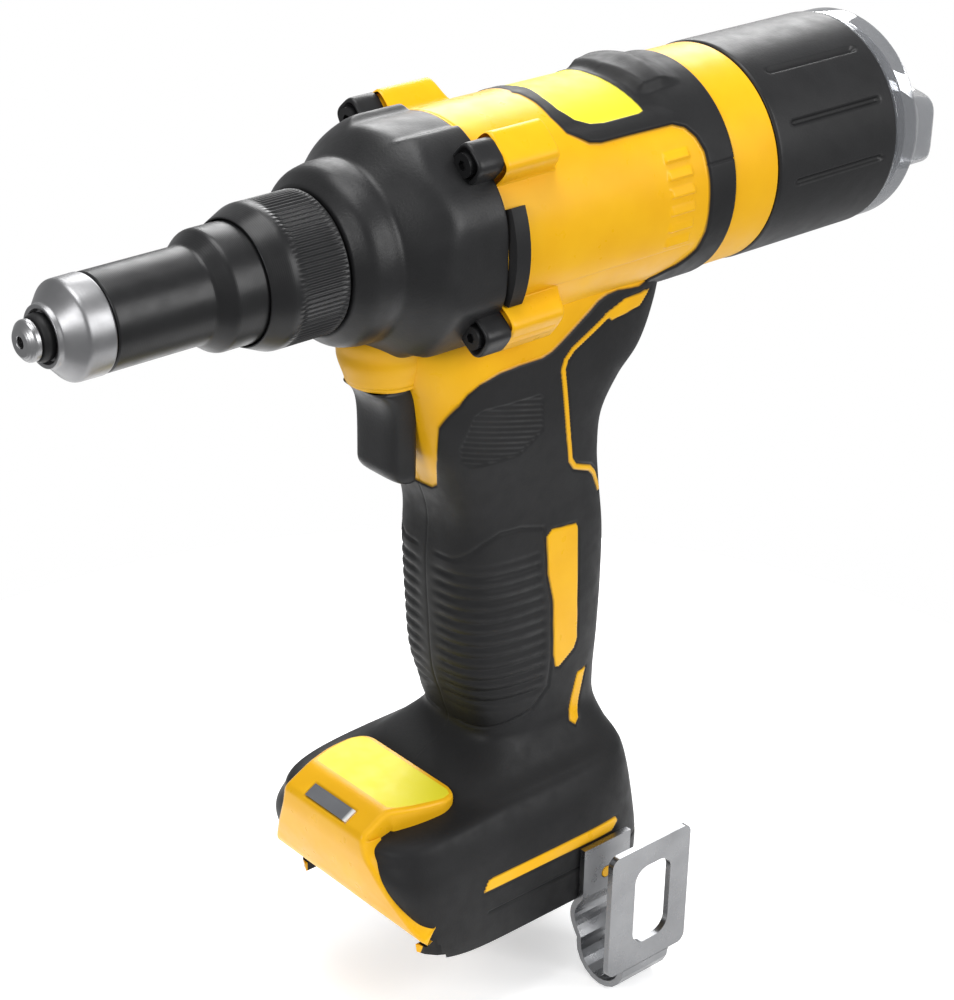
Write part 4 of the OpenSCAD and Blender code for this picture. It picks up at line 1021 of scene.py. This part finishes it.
@dataclass(frozen=True)
class Handle(Assembly):
    """Handle and foot skin with the black overmould, ribs and yellow insets.

    A section is its height, front, rear, half width, and the squareness of its front and its rear. Outlines
    are seen from the side, as station and height; the tail's is seen from the front. The bezel's gap is depth
    below the axis and half width, and its top, its end and the lip are each a station and a height.
    """

    rows: Sequence[tuple[float, ...]] = (
        (-20.05, 112.02, 211.98, 22.5, 3.5, 3.5), (-34.07, 112.98, 208.8, 22.8, 3.5, 3.5),
        (-45.97, 117.0, 203.4, 22.6, 3.5, 3.5), (-53.95, 118.98, 195.0, 22.39, 3.5, 3.5),
        (-64.06, 121.98, 188.4, 22.0, 3.5, 3.5), (-75.96, 127.5, 187.5, 21.2, 3.5, 3.5),
        (-88.02, 131.4, 189.0, 20.6, 3.5, 3.5), (-103.99, 131.1, 191.4, 20.6, 3.5, 3.5),
        (-121.92, 132.3, 191.7, 20.6, 3.5, 3.5), (-140.02, 134.1, 191.28, 20.19, 3.5, 3.5),
        (-154.04, 138.6, 190.62, 19.41, 3.5, 3.5), (-163.0, 140.1, 190.92, 19.94, 3.5, 3.5),
        (-170.52, 127.99, 192.78, 25.0, 3.8, 3.8), (-174.99, 121.0, 194.2, 30.21, 4.2, 4.2),
        (-177.99, 98.01, 195.01, 33.21, 4.5, 4.5), (-183.98, 94.31, 195.58, 35.99, 4.5, 4.5),
        (-192.98, 95.5, 196.01, 37.51, 6.5, 4.8), (-206.98, 101.48, 196.48, 38.0, 8.0, 5.5),
        (-217.5, 103.52, 196.01, 37.81, 5.5, 5.5))
    grid: tuple[int, int] = (500, 190)
    ring_samples: int = 900
    yellow: Outline = (
        (90.0, -46.0), (126.4, -46.0), (128.6, -43.0), (132.2, -40.6), (138.7, -38.6), (145.8, -38.0),
        (154.3, -38.0), (158.0, -37.0), (161.4, -35.1), (172.1, -28.4), (175.6, -26.1), (179.0, -25.0),
        (183.5, -24.8), (193.0, -26.3), (201.0, -25.0), (206.0, -18.0), (214.0, 5.0), (90.0, 5.0))
    tail: Outline = (
        (-1.0, -77.4), (6.0, -76.8), (8.6, -75.0), (10.4, -71.0), (13.2, -64.0), (14.4, -59.0), (15.6, -53.0),
        (17.4, -49.6), (19.4, -46.0), (19.6, -40.0), (-1.0, -40.0))
    tail_before: float = 135.0
    line: Outline = (
        (196.0, -29.2), (187.0, -29.6), (179.0, -31.6), (166.0, -38.2), (163.2, -41.0), (162.6, -44.0),
        (166.0, -63.0), (168.4, -74.5), (170.5, -77.3), (177.8, -80.4), (180.5, -83.0), (184.5, -90.0))
    line_half: float = 0.95
    wedge: Outline = ((178.0, -30.6), (186.5, -28.0), (199.0, -28.6), (194.0, -32.4), (181.0, -33.4))
    window: Outline = (
        (160.4, -97.2), (162.4, -95.4), (172.4, -96.6), (173.2, -98.0), (174.2, -119.9), (175.2, -137.0),
        (174.0, -140.0), (168.0, -144.4), (166.4, -144.0), (165.3, -139.4), (163.9, -119.7), (161.6, -110.6))
    strip: Outline = (
        (176.6, -150.0), (180.8, -149.4), (178.6, -158.0), (176.5, -165.4), (174.4, -166.6), (172.6, -165.0))
    stripe: Outline = (
        (123.4, -198.2), (125.4, -194.6), (127.0, -194.2), (179.0, -194.6), (180.0, -196.4), (177.0, -198.8))
    inset_past: float = 6.0
    panel: Outline = (
        (118.0, -101.0), (132.2, -99.4), (138.0, -93.6), (142.9, -91.0), (150.0, -91.2), (159.0, -93.8),
        (160.2, -100.0), (161.2, -111.0), (163.2, -120.0), (164.6, -139.4), (164.0, -150.0), (158.0, -156.0),
        (140.0, -160.0), (118.0, -161.0))
    patch: Outline = (
        (131.0, -50.0), (134.0, -48.6), (153.6, -49.0), (155.0, -50.6), (155.9, -60.8), (147.5, -66.0),
        (131.0, -66.3), (128.2, -64.0), (127.6, -60.0))
    yellow_sunk: float = 0.75
    yellow_edge: Span = (0.4, -0.4)
    inset_lift: float = 0.12
    inset_rise: Span = (0.0, -0.5)
    inset_edge: Span = (-0.3, 0.3)
    inset_groove: float = 0.25
    inset_groove_half: float = 0.8
    panel_groove: float = 0.45
    panel_groove_half: float = 0.9
    panel_front: Span = (2.0, 6.0)
    rib_pitch: float = 4.0
    rib_slant: float = 0.05
    rib_depth: float = 0.6
    rib_sunk: float = 0.1
    rib_field: Span = (-1.5, -4.0)
    rib_top: Span = (-100.0, -104.0)
    rib_low: Span = (-154.0, -149.0)
    rib_front: Span = (1.0, 7.0)
    patch_sunk: float = 0.3
    patch_edge: Span = (0.4, -0.4)
    foot_groove: float = 0.6
    foot_groove_z: float = -206.0
    foot_groove_side: Span = (30.0, 34.0)
    foot_groove_past: float = 126.0
    seam_depth: float = 0.15
    seam_half: float = 0.6
    mouth: Place = (30.3, -207.9, 118.0)
    bezel_gap: Pairs = (
        (168.0, 16.6), (177.0, 16.6), (181.5, 17.6), (193.4, 24.4), (204.2, 31.6), (207.9, 30.3))
    bezel_top: Span = (113.0, -178.0)
    bezel_top_gap: float = 20.5
    bezel_end: Span = (125.5, -168.0)
    lip: Span = (106.5, -208.5)
    lip_slope: float = 0.5

    def sections(self, count: int) -> Array:
        """Smooth sections between the given rows, by a cubic that passes through each row and takes its slope
        there from the rows on either side.

        Args:
            count: number of sections.

        Returns:
            Sections, shape (count, 6).
        """
        rows = np.array(self.rows)
        u = np.linspace(0.0, len(rows) - 1, count)
        i = np.minimum(u.astype(int), len(rows) - 2)
        t = (u - i)[:, None]
        a, b = rows[np.maximum(i - 1, 0)], rows[i]
        c, d = rows[i + 1], rows[np.minimum(i + 2, len(rows) - 1)]
        return (2 * b + (c - a) * t + (2 * a - 5 * b + 4 * c - d) * t**2 + (3 * b - a - 3 * c + d) * t**3) / 2

    def rings(self, count: int, half: int) -> Array:
        """Half superellipse rings with even steps of arc, from the front middle round one side to the rear.

        Args:
            count: number of rings.
            half: steps on the side.

        Returns:
            Points, shape (count, half + 1, 3).
        """
        out = np.empty((count, half + 1, 3))
        t = np.linspace(-math.pi / 2, math.pi / 2, self.ring_samples)
        for k, (z, front, rear, wide, n_front, n_rear) in enumerate(self.sections(count)):
            power = np.where(t < 0.0, 2.0 / n_front, 2.0 / n_rear)
            x = wide * np.abs(np.cos(t)) ** power
            y = (front + rear) / 2 + (rear - front) / 2 * squared(np.sin(t), power)
            run = np.concatenate([[0.0], np.cumsum(np.hypot(np.diff(x), np.diff(y)))])
            at = np.linspace(0.0, run[-1], half + 1)
            out[k] = np.stack([np.interp(at, run, x), np.interp(at, run, y), np.full(half + 1, z)], 1)
        out[:, [0, -1], 0] = 0.0
        return out

    def kept(self, x: Array, y: Array, z: Array) -> Array:
        """Points of the skin that stay: none in the foot's mouth, under the bezel or in front of its lip.

        Args:
            x: distances from the middle.
            y: stations.
            z: heights.

        Returns:
            True where a point stays.
        """
        wide, low, back = self.mouth
        front, top = self.bezel_top
        under = np.interp(-z, *np.array(self.bezel_gap).T)
        under = np.where((y > front) & (z > top), self.bezel_top_gap, under)
        keep = (x > wide) | (z > low) | (y > back)
        keep &= (x > under) | (y > self.bezel_end[0]) | (z > self.bezel_end[1])
        lip_y, lip_z = self.lip
        return keep & ((y > lip_y - self.lip_slope * (z - lip_z)) | (z > lip_z))

    def skin(self, side: Side) -> Surface:
        """Lofted half rings with relief along the normal: insets are raised, the rib panel is sunk and
        ribbed, and the overmould stands over the yellow plastic.

        Args:
            side: side of the tool.

        Returns:
            The skin with the distances to the black field and the texture patch.
        """
        points = self.rings(*self.grid)
        normal = np.cross(np.gradient(points, axis=0), np.gradient(points, axis=1))
        normal[:, [0, -1], 0] = 0.0
        normal /= np.maximum(np.linalg.norm(normal, axis=2, keepdims=True), 1e-9)
        flat = points[..., 1:].reshape(-1, 2)
        x, y, z = np.moveaxis(points, 2, 0)

        def field_of(outline: Outline) -> Array:
            """Distance to an outline seen from the side."""
            return area_distance(flat, outline).reshape(y.shape)

        line = line_distance(flat, self.line).reshape(y.shape) - self.line_half
        shapes = [field_of(shape) for shape in (self.wedge, self.window, self.strip, self.stripe)]
        inset = np.minimum.reduce([line, *shapes])
        inset = np.where(x > self.inset_past, inset, np.maximum(inset, 1.0))
        tail = area_distance(points[..., [0, 2]].reshape(-1, 2), self.tail).reshape(y.shape)
        tail = np.where(y < self.tail_before, tail, FAR)
        yellow = np.minimum.reduce([field_of(self.yellow), inset, tail])
        panel, patch = field_of(self.panel), field_of(self.patch)
        wave = 0.5 - 0.5 * np.cos(FULL_TURN * (z + self.rib_slant * y) / self.rib_pitch)
        ribs = smoothstep(*self.rib_field, panel) * smoothstep(*self.rib_front, x)
        ribs = ribs * smoothstep(*self.rib_top, z) * smoothstep(*self.rib_low, z)
        outside = smoothstep(*self.inset_edge, inset)
        lift = -self.yellow_sunk * smoothstep(*self.yellow_edge, yellow) * outside
        lift -= self.inset_groove * smoothstep(self.inset_groove_half, 0.0, np.abs(inset)) * outside
        rim = smoothstep(self.panel_groove_half, 0.0, np.abs(panel)) * smoothstep(*self.panel_front, x)
        lift -= self.panel_groove * rim
        lift -= (self.rib_depth * wave**2 + self.rib_sunk) * ribs
        lift -= self.patch_sunk * smoothstep(*self.patch_edge, patch)
        lift += self.inset_lift * smoothstep(*self.inset_rise, inset)
        groove = smoothstep(self.foot_groove, 0.0, np.abs(z - self.foot_groove_z))
        groove = groove * smoothstep(*self.foot_groove_side, x) * (y > self.foot_groove_past)
        lift -= self.foot_groove * groove
        lift -= self.seam_depth * smoothstep(self.seam_half, 0.0, x)
        shown = (points + normal * lift[..., None]) * [side.value, 1.0, 1.0]
        fields = {"black": -yellow, "label": np.full(y.shape, FAR), "patch": patch}
        return Surface(shown, attributes=fields, keep=self.kept(x, y, z))

    def build(self) -> None:
        """Make the handle skin of each side, in place of the grips."""
        for side in Side:
            name, skin = side.name.lower(), [self.skin(side)]
            stands_for = [f"{name}_grip"]
            self.show(f"{name}_handle_skin", Body.HOUSING, Slot.RUBBER, skin, stands_for, self.finishes.skin)


@dataclass(frozen=True)
class Bezel(Assembly):
    """Yellow bezel on the foot's front, with the label field and the lamp's seat.

    A corner of the profile is half width, station, height and fillet. The label's outline is seen from above.
    """

    corners: Sequence[tuple[float, float, float, float]] = (
        (17.6, 126.8, -175.5, 0), (18.2, 126.3, -171.5, 1.2), (21.6, 125.2, -171.5, 2.0),
        (23.2, 121.0, -171.3, 3.0), (22.5, 115.0, -170.8, 3.0), (21.5, 110.0, -170.4, 3.0),
        (18.6, 101.5, -169.8, 2.5), (18.8, 91.8, -175.0, 2.2), (20.0, 92.0, -181.5, 3.0),
        (26.8, 95.2, -193.4, 6.0), (33.8, 99.6, -204.2, 4.0), (36.2, 101.6, -207.4, 1.2),
        (35.8, 103.4, -208.9, 0.6), (35.0, 106.0, -209.0, 0))
    corner_steps: int = 9
    step: float = 0.5
    wall: float = 7.0
    wall_end: Span = (-208.8, -207.6)
    least_wall: float = 0.02
    edge: float = 1.6
    edge_steps: int = 7
    across: int = 119
    label: Outline = (
        (-1.0, 124.9), (18.6, 124.9), (20.8, 123.8), (21.7, 121.0), (21.6, 119.0), (20.9, 115.0),
        (19.8, 110.0), (18.2, 105.4), (16.6, 103.4), (-1.0, 103.4))
    label_depth: float = 0.3
    label_low: float = -172.5
    lamp: Span = (95.1, -173.2)
    lamp_tilt: float = 28.5
    lamp_half: Span = (9.9, 2.6)
    lamp_sunk: float = 1.0
    lamp_edge: Span = (0.25, -0.25)

    def shell(self) -> Surface:
        """A rounded channel section carried along the bezel's profile: flat across, turning down at both
        edges by a quarter circle into side walls along the inward normal.

        Returns:
            The bezel with the distance to the label field.
        """
        line = refined(rounded(self.corners, self.corner_steps), self.step)
        run = np.gradient(line[:, 1:], axis=0)
        run /= np.linalg.norm(run, axis=1, keepdims=True)
        inward = np.stack([-run[:, 1], run[:, 0]], 1)
        e = np.radians(np.linspace(0.0, 90.0, self.edge_steps))
        off = np.concatenate([[0.0, 0.0], self.edge * (1.0 - np.cos(e))])
        deep = np.concatenate([[self.wall, self.wall / 2], self.edge * (1.0 - np.sin(e))])
        share = np.linspace(1.0, -1.0, self.across + 2)[1:-1]
        wide = line[:, :1]
        x = np.concatenate([wide - off, (wide - self.edge) * share, -(wide - off)[:, ::-1]], 1)
        depth = np.concatenate([deep, 0.0 * share, deep[::-1]])[None, :]
        depth = depth * np.maximum(smoothstep(*self.wall_end, line[:, 2:]), self.least_wall)
        tilt = math.radians(self.lamp_tilt)
        up = (line[:, 1] - self.lamp[0]) * math.cos(tilt) + (line[:, 2] - self.lamp[1]) * math.sin(tilt)
        seat = np.maximum(np.abs(x) - self.lamp_half[0], np.abs(up)[:, None] - self.lamp_half[1])
        depth = depth + self.lamp_sunk * smoothstep(*self.lamp_edge, seat)
        y = line[:, 1:2] + inward[:, :1] * depth
        z = line[:, 2:] + inward[:, 1:] * depth
        label = area_distance(np.stack([np.abs(x).ravel(), y.ravel()], 1), self.label).reshape(x.shape)
        label = np.where((depth < self.label_depth) & (z > self.label_low), label, FAR)
        plain = np.full(x.shape, FAR)
        return Surface(np.stack([x, y, z], -1), attributes={"black": plain, "label": label, "patch": plain})

    def build(self) -> None:
        """Make the bezel, in place of the CAD one."""
        self.show("bezel_skin", Body.HOUSING, Slot.YELLOW, [self.shell()], ["foot_bezel"], self.finishes.skin)


@dataclass(frozen=True)
class TriggerGroup(Assembly):
    """Trigger, its spring and the yellow chin over it."""

    half_width: float = 9.5
    top: float = -41.3
    drop: float = 30.0
    rear: float = 121.0
    lip: float = 104.4
    lip_share: float = 0.12
    mid: float = 111.3
    corner: float = 5.0
    rows: int = 60
    segments: int = 96
    power: float = 0.5
    top_shares: Span = (0.02, 0.9)
    low_shares: Span = (0.84, 0.02)
    end_round: float = 0.1
    top_rate: float = 60.0
    low_rate: float = 30.0
    corner_share: float = 0.98
    dish_depth: float = 0.5
    dish_middle: float = -58.0
    dish_half: float = 11.0
    dish_share: float = 0.7
    dish_from: float = 0.9
    stem_r: float = 3.0
    stem_end: float = 132.9
    stem_fillet: float = 0.3
    stem_root: float = 1.0
    stem_z: float = -59.3
    spring: Span = (121.15, 128.85)
    spring_r: float = 4.2
    wire: float = 0.7
    turns: int = 3
    turn_steps: int = 32
    wire_segments: int = 10
    squeezed: float = 0.36
    chin_r: float = 13.35
    chin_taper: float = 2.5
    taper_span: Span = (-32.0, -42.0)
    chin_flare: float = 1.2
    flare_span: Span = (-32.0, -26.0)
    chin_edge: float = 1.2
    chin_y: float = 115.0
    chin_low: float = -41.1
    chin_high: float = -14.0
    chin_back: float = 130.0
    chin_floor: tuple[float, ...] = (7.0, 3.0, 0.1)
    bow_steps: int = 61
    straight_steps: int = 11
    chin_rows: int = 30
    edge_rows: int = 9
    sliver: float = 0.01

    def trigger(self) -> Surface:
        """Stack of rounded sections: each is a superellipse between the concave front line and the flat rear,
        and the sides are dished in the middle.

        Returns:
            The trigger's surface.
        """
        run = np.linspace(0.0, 1.0, self.rows)
        v = np.concatenate([[0.0, 0.0], run, [1.0, 1.0]])
        top_round = self.end_round * np.exp(-run * self.top_rate)
        low_round = self.end_round * np.exp((run - 1.0) * self.low_rate)
        size = np.concatenate([self.top_shares, 1.0 - top_round - low_round, self.low_shares])[:, None]
        low = np.clip((v - 1.0) * self.drop / self.corner + 1.0, 0.0, 1.0)
        front = self.lip + (self.mid - self.lip) * (1.0 - np.exp(-v / self.lip_share))
        front = front + self.corner * (1.0 - np.sqrt(1.0 - self.corner_share * low**2))
        z = (self.top - self.drop * v)[:, None]
        t = around(self.segments)
        middle, half = (front + self.rear)[:, None] / 2, (self.rear - front)[:, None] / 2
        x = self.half_width * size * squared(np.cos(t), self.power)
        y = middle + half * size * squared(np.sin(t), self.power)
        dish = self.dish_depth * np.exp(-(((z - self.dish_middle) / self.dish_half) ** 4))
        dish = dish * np.exp(-(((y - middle) / (half * self.dish_share)) ** 4))
        x = x - np.sign(x) * dish * (np.abs(x) > self.half_width * self.dish_from)
        return Surface(np.stack([x, y, z + 0.0 * t], -1), wrap_columns=True)

    def coil(self) -> Surface:
        """Helix of round wire along the barrel: at turn a the wire's middle is (r cos a, y, r sin a), with y
        growing with a.

        Returns:
            The spring's surface.
        """
        share = np.linspace(0.0, 1.0, self.turn_steps * self.turns + 1)
        share = np.concatenate([[0.0], share, [1.0]])[:, None]
        a = FULL_TURN * self.turns * share
        p = around(self.wire_segments)
        thick = np.full(share.shape, self.wire / 2)
        thick[[0, -1]] = self.sliver
        far = self.spring_r + thick * np.cos(p)
        start, end = self.spring
        y = start + self.wire / 2 + (end - start - self.wire) * share - thick * np.sin(p)
        return Surface(np.stack([far * np.cos(a), y, self.stem_z + far * np.sin(a)], -1), wrap_columns=True)

    def chin(self) -> Surface:
        """Wall along a half circle and two straights that tapers downwards and closes with a rounded edge.

        Returns:
            The chin's surface.
        """
        a = np.radians(np.linspace(-90.0, 90.0, self.bow_steps))
        bow = np.stack([np.sin(a), -np.cos(a)], 1)
        straight = np.linspace(1.0, 0.0, self.straight_steps, endpoint=False)
        back = (self.chin_back - self.chin_y) / self.chin_r
        left = np.stack([-np.ones(len(straight)), back * straight], 1)
        path = np.vstack([left, bow, left[::-1] * [-1.0, 1.0]])[None, :]
        edge = np.radians(np.linspace(0.0, 90.0, self.edge_rows))
        z = np.linspace(self.chin_high, self.chin_low + self.chin_edge, self.chin_rows)
        r = self.chin_r - self.chin_taper * smoothstep(*self.taper_span, z)
        r = r + self.chin_flare * smoothstep(*self.flare_span, z)
        r = np.concatenate([r, r[-1] - self.chin_edge * (1.0 - np.cos(edge)), self.chin_floor])[:, None]
        bent = self.chin_low + self.chin_edge - self.chin_edge * np.sin(edge)
        z = np.concatenate([z, bent, [self.chin_low] * len(self.chin_floor)])[:, None]
        x, along = path[..., 0] * r, path[..., 1]
        y = self.chin_y + np.where(along < 0, along * r, along * self.chin_r)
        return Surface(np.stack([x, y, z + 0.0 * x], -1))

    def build(self) -> None:
        """Make the trigger with its stem, the spring on a mesh of its own, and the chin."""
        r, end, root = self.stem_r, self.stem_end, self.rear - self.stem_root
        stem = Lathe(((0.1, end, 0), (r, end, self.stem_fillet), (r, root, 0)), centre=(0.0, self.stem_z))
        trigger = [self.trigger(), stem.surface()]
        self.show("trigger_skin", Body.TRIGGER, Slot.CASE, trigger, ["trigger"])
        spring = self.show("trigger_spring_coil", Body.HOUSING, Slot.STEEL, [self.coil()], ["trigger_spring"])
        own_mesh(spring)
        self.show("chin_skin", Body.HOUSING, Slot.YELLOW, [self.chin()])


@dataclass(frozen=True)
class Rear(Assembly):
    """Yellow rear ring, black collector with grip grooves, and clear end cap with its grip bar.

    A row of the bar is its size as a share and its station.
    """

    ring: Profile = (
        (30.0, 218.1, 0), (32.3, 218.1, 0.3), (32.8, 218.7, 0.4), (32.8, 235.9, 0.4), (32.3, 236.4, 0.3),
        (29.0, 236.4, 0))
    bin_wall: Profile = (
        (28.0, 236.7, 0), (32.6, 236.7, 0.3), (33.2, 237.4, 0.4), (33.2, 287.8, 0.5), (32.4, 288.7, 0.4),
        (30.5, 288.7, 0.2), (30.5, 240.0, 0))
    bin_r: float = 33.2
    bin_segments: int = 480
    bin_step: float = 0.8
    cap: Profile = (
        (30.4, 284.0, 0), (30.4, 289.0, 0.1), (32.8, 289.0, 0.4), (32.8, 298.0, 2.0), (30.6, 300.0, 1.0),
        (0.1, 300.0, 0))
    cap_inside: Profile = ((0.1, 297.4, 0), (28.4, 297.4, 1.5), (28.2, 284.0, 0))
    grooves: tuple[float, ...] = (33.5, 63.5, 94.5)
    groove_span: Span = (245.0, 281.5)
    groove_half: float = 0.9
    groove_edge: float = 0.3
    groove_depth: float = 1.2
    bar_half: Span = (31.6, 12.0)
    bar_rows: Pairs = (
        (1.0, 299.8), (1.0, 303.0), (1.0, 306.4), (0.995, 307.0), (0.98, 307.5), (0.95, 307.85), (0.9, 308.0),
        (0.6, 308.0), (0.02, 308.0))
    bar_power: float = 0.35
    bar_limit: float = 31.9
    bar_segments: int = 120

    def groove_relief(self, y: Array, a: Array) -> Array:
        """Radius taken off by the collector's grip grooves: an eased step of the distance to a groove's line.

        Args:
            y: stations.
            a: angles.

        Returns:
            Radius change at each station and angle.
        """
        turn = np.abs((a + math.pi) % FULL_TURN - math.pi)
        off = np.min(np.abs(turn[..., None] - np.radians(self.grooves)), axis=-1) * self.bin_r
        past = np.maximum(np.maximum(self.groove_span[0] - y, y - self.groove_span[1]), 0.0)
        low, high = self.groove_half + self.groove_edge, self.groove_half - self.groove_edge
        return -self.groove_depth * smoothstep(low, high, np.hypot(off, past))

    def grip_bar(self) -> Surface:
        """Grip bar: a rounded block whose outline is a squarish ellipse, domed at its end.

        Returns:
            The bar's surface.
        """
        t = around(self.bar_segments)
        size, y = np.array(self.bar_rows).T[..., None]
        x = self.bar_half[0] * size * squared(np.cos(t), self.bar_power)
        z = self.bar_half[1] * size * squared(np.sin(t), self.bar_power)
        limit = np.minimum(1.0, self.bar_limit / np.hypot(x, z))
        return Surface(np.stack([x * limit, y + 0.0 * t, z * limit], -1), wrap_columns=True)

    def build(self) -> None:
        """Make the ring, the collector and the cap."""
        collector = Lathe(self.bin_wall, self.bin_segments, self.bin_step).surface(self.groove_relief)
        cap = [Lathe(self.cap).surface(), Lathe(self.cap_inside).surface(), self.grip_bar()]
        self.show("rear_ring_skin", Body.HOUSING, Slot.YELLOW, [Lathe(self.ring).surface()], ["rear_ring"])
        self.show("collector_skin", Body.COLLECTOR, Slot.CASE, [collector], ["collector"])
        self.show("end_cap_skin", Body.END_CAP, Slot.CLEAR, cap, ["end_cap"])


@dataclass(frozen=True)
class SoftLamp:
    """A square soft lamp: its name, place and edge length in metres, and its watts."""

    name: str
    place: Place
    size: float
    power: float

    def hang(self, aim: Place) -> None:
        """Hang the lamp so that it faces a point.

        Args:
            aim: point to face.
        """
        data = bpy.data.lights.new(self.name, "AREA")
        data.size, data.energy = self.size, self.power
        obj = bpy.data.objects.new(self.name, data)
        obj.location = self.place
        towards = Vector(aim) - Vector(self.place)
        obj.rotation_euler = towards.to_track_quat("-Z", "Y").to_euler()
        bpy.context.scene.collection.objects.link(obj)


@dataclass(frozen=True)
class Studio:
    """Pale floor, white surroundings, soft lamps and the camera; places in metres."""

    floor_z: float = -0.2438
    floor_r: float = 0.28
    floor_y: float = 0.15
    floor_steps: int = 128
    floor_glow: float = 0.45
    soft: Colour = (0.92, 0.95, 1.0, 1.0)
    soft_strength: float = 0.2
    mirrored: float = 0.35
    lamps: Sequence[SoftLamp] = (
        SoftLamp("rim", (-0.85, 0.95, 0.62), 0.8, 13.0), SoftLamp("top", (-0.1, 0.1, 0.95), 0.6, 8.0),
        SoftLamp("left", (0.9, 0.5, 0.4), 0.6, 7.2), SoftLamp("front", (0.3, -0.95, 0.5), 0.5, 5.8))
    aim: Place = (0.0, 0.15, -0.08)
    lens: float = 91.355
    film: float = 36.0
    eye: Place = (0.5010, -0.2950, 0.2454)
    right: Place = (0.6571, 0.7535, 0.0200)
    up: Place = (-0.3491, 0.2807, 0.8940)
    back: Place = (0.6680, -0.5945, 0.4475)

    def floor(self) -> None:
        """Lay a round plain floor just under the tool: points at equal angles on a circle."""
        a = around(self.floor_steps)[0]
        x, y = self.floor_r * np.cos(a), self.floor_y + self.floor_r * np.sin(a)
        ring = np.stack([x, y, np.full(self.floor_steps, self.floor_z)], 1)
        mesh = bpy.data.meshes.new("floor")
        mesh.from_pydata(ring.tolist(), [], [tuple(range(self.floor_steps))])
        tones = ((0.9, 0.9, 0.9, 1.0), (0.88, 0.88, 0.88, 1.0))
        kit = Finish("pale floor", *tones, (0.7, 0.8), 40.0, 0.0001).nodes()
        kit.set("Emission Color", WHITE)
        kit.set("Emission Strength", self.floor_glow)
        mesh.materials.append(kit.material)
        obj = bpy.data.objects.new("floor", mesh)
        bpy.context.scene.collection.objects.link(obj)

    def world(self) -> None:
        """White to the camera, part of it to mirrored and passing rays, softer grey to everything else."""
        world = bpy.data.worlds.new("studio")
        bpy.context.scene.world = world
        world.use_nodes = True
        tree = world.node_tree
        tree.nodes.clear()
        path, mix = tree.nodes.new("ShaderNodeLightPath"), tree.nodes.new("ShaderNodeMixShader")
        seen = path.outputs["Is Camera Ray"]
        for kind in ("Is Glossy Ray", "Is Transmission Ray"):
            part, either = tree.nodes.new("ShaderNodeMath"), tree.nodes.new("ShaderNodeMath")
            part.operation, either.operation = "MULTIPLY", "MAXIMUM"
            part.inputs[1].default_value = self.mirrored
            tree.links.new(path.outputs[kind], part.inputs[0])
            tree.links.new(seen, either.inputs[0])
            tree.links.new(part.outputs[0], either.inputs[1])
            seen = either.outputs[0]
        tree.links.new(seen, mix.inputs[0])
        for place, (colour, strength) in enumerate(((self.soft, self.soft_strength), (WHITE, 1.0)), start=1):
            light = tree.nodes.new("ShaderNodeBackground")
            light.inputs["Color"].default_value = colour
            light.inputs["Strength"].default_value = strength
            tree.links.new(light.outputs[0], mix.inputs[place])
        out = tree.nodes.new("ShaderNodeOutputWorld")
        tree.links.new(mix.outputs[0], out.inputs["Surface"])

    def camera(self) -> None:
        """Set the camera where the photo was taken from."""
        data = bpy.data.cameras.new("photo_view")
        data.lens, data.sensor_width = self.lens, self.film
        obj = bpy.data.objects.new("photo_view", data)
        turn = Matrix((self.right, self.up, self.back)).transposed()
        obj.matrix_world = Matrix.Translation(self.eye) @ turn.to_4x4()
        bpy.context.scene.collection.objects.link(obj)
        bpy.context.scene.camera = obj

    def build(self) -> None:
        """Build the whole studio."""
        self.floor()
        self.world()
        for lamp in self.lamps:
            lamp.hang(self.aim)
        self.camera()
        bpy.context.scene.view_settings.view_transform = "Standard"


def main() -> None:
    """Build the tool's looks and the studio, and note the sizes."""
    logging.basicConfig(level=logging.INFO)
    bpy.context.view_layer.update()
    finishes = Finishes()
    finishes.dress_cad()
    for assembly in (Nose, Gearcase, Barrel, Handle, Bezel, TriggerGroup, Rear):
        assembly(finishes).build()
    Studio().build()


if __name__ == "__main__":
    main()
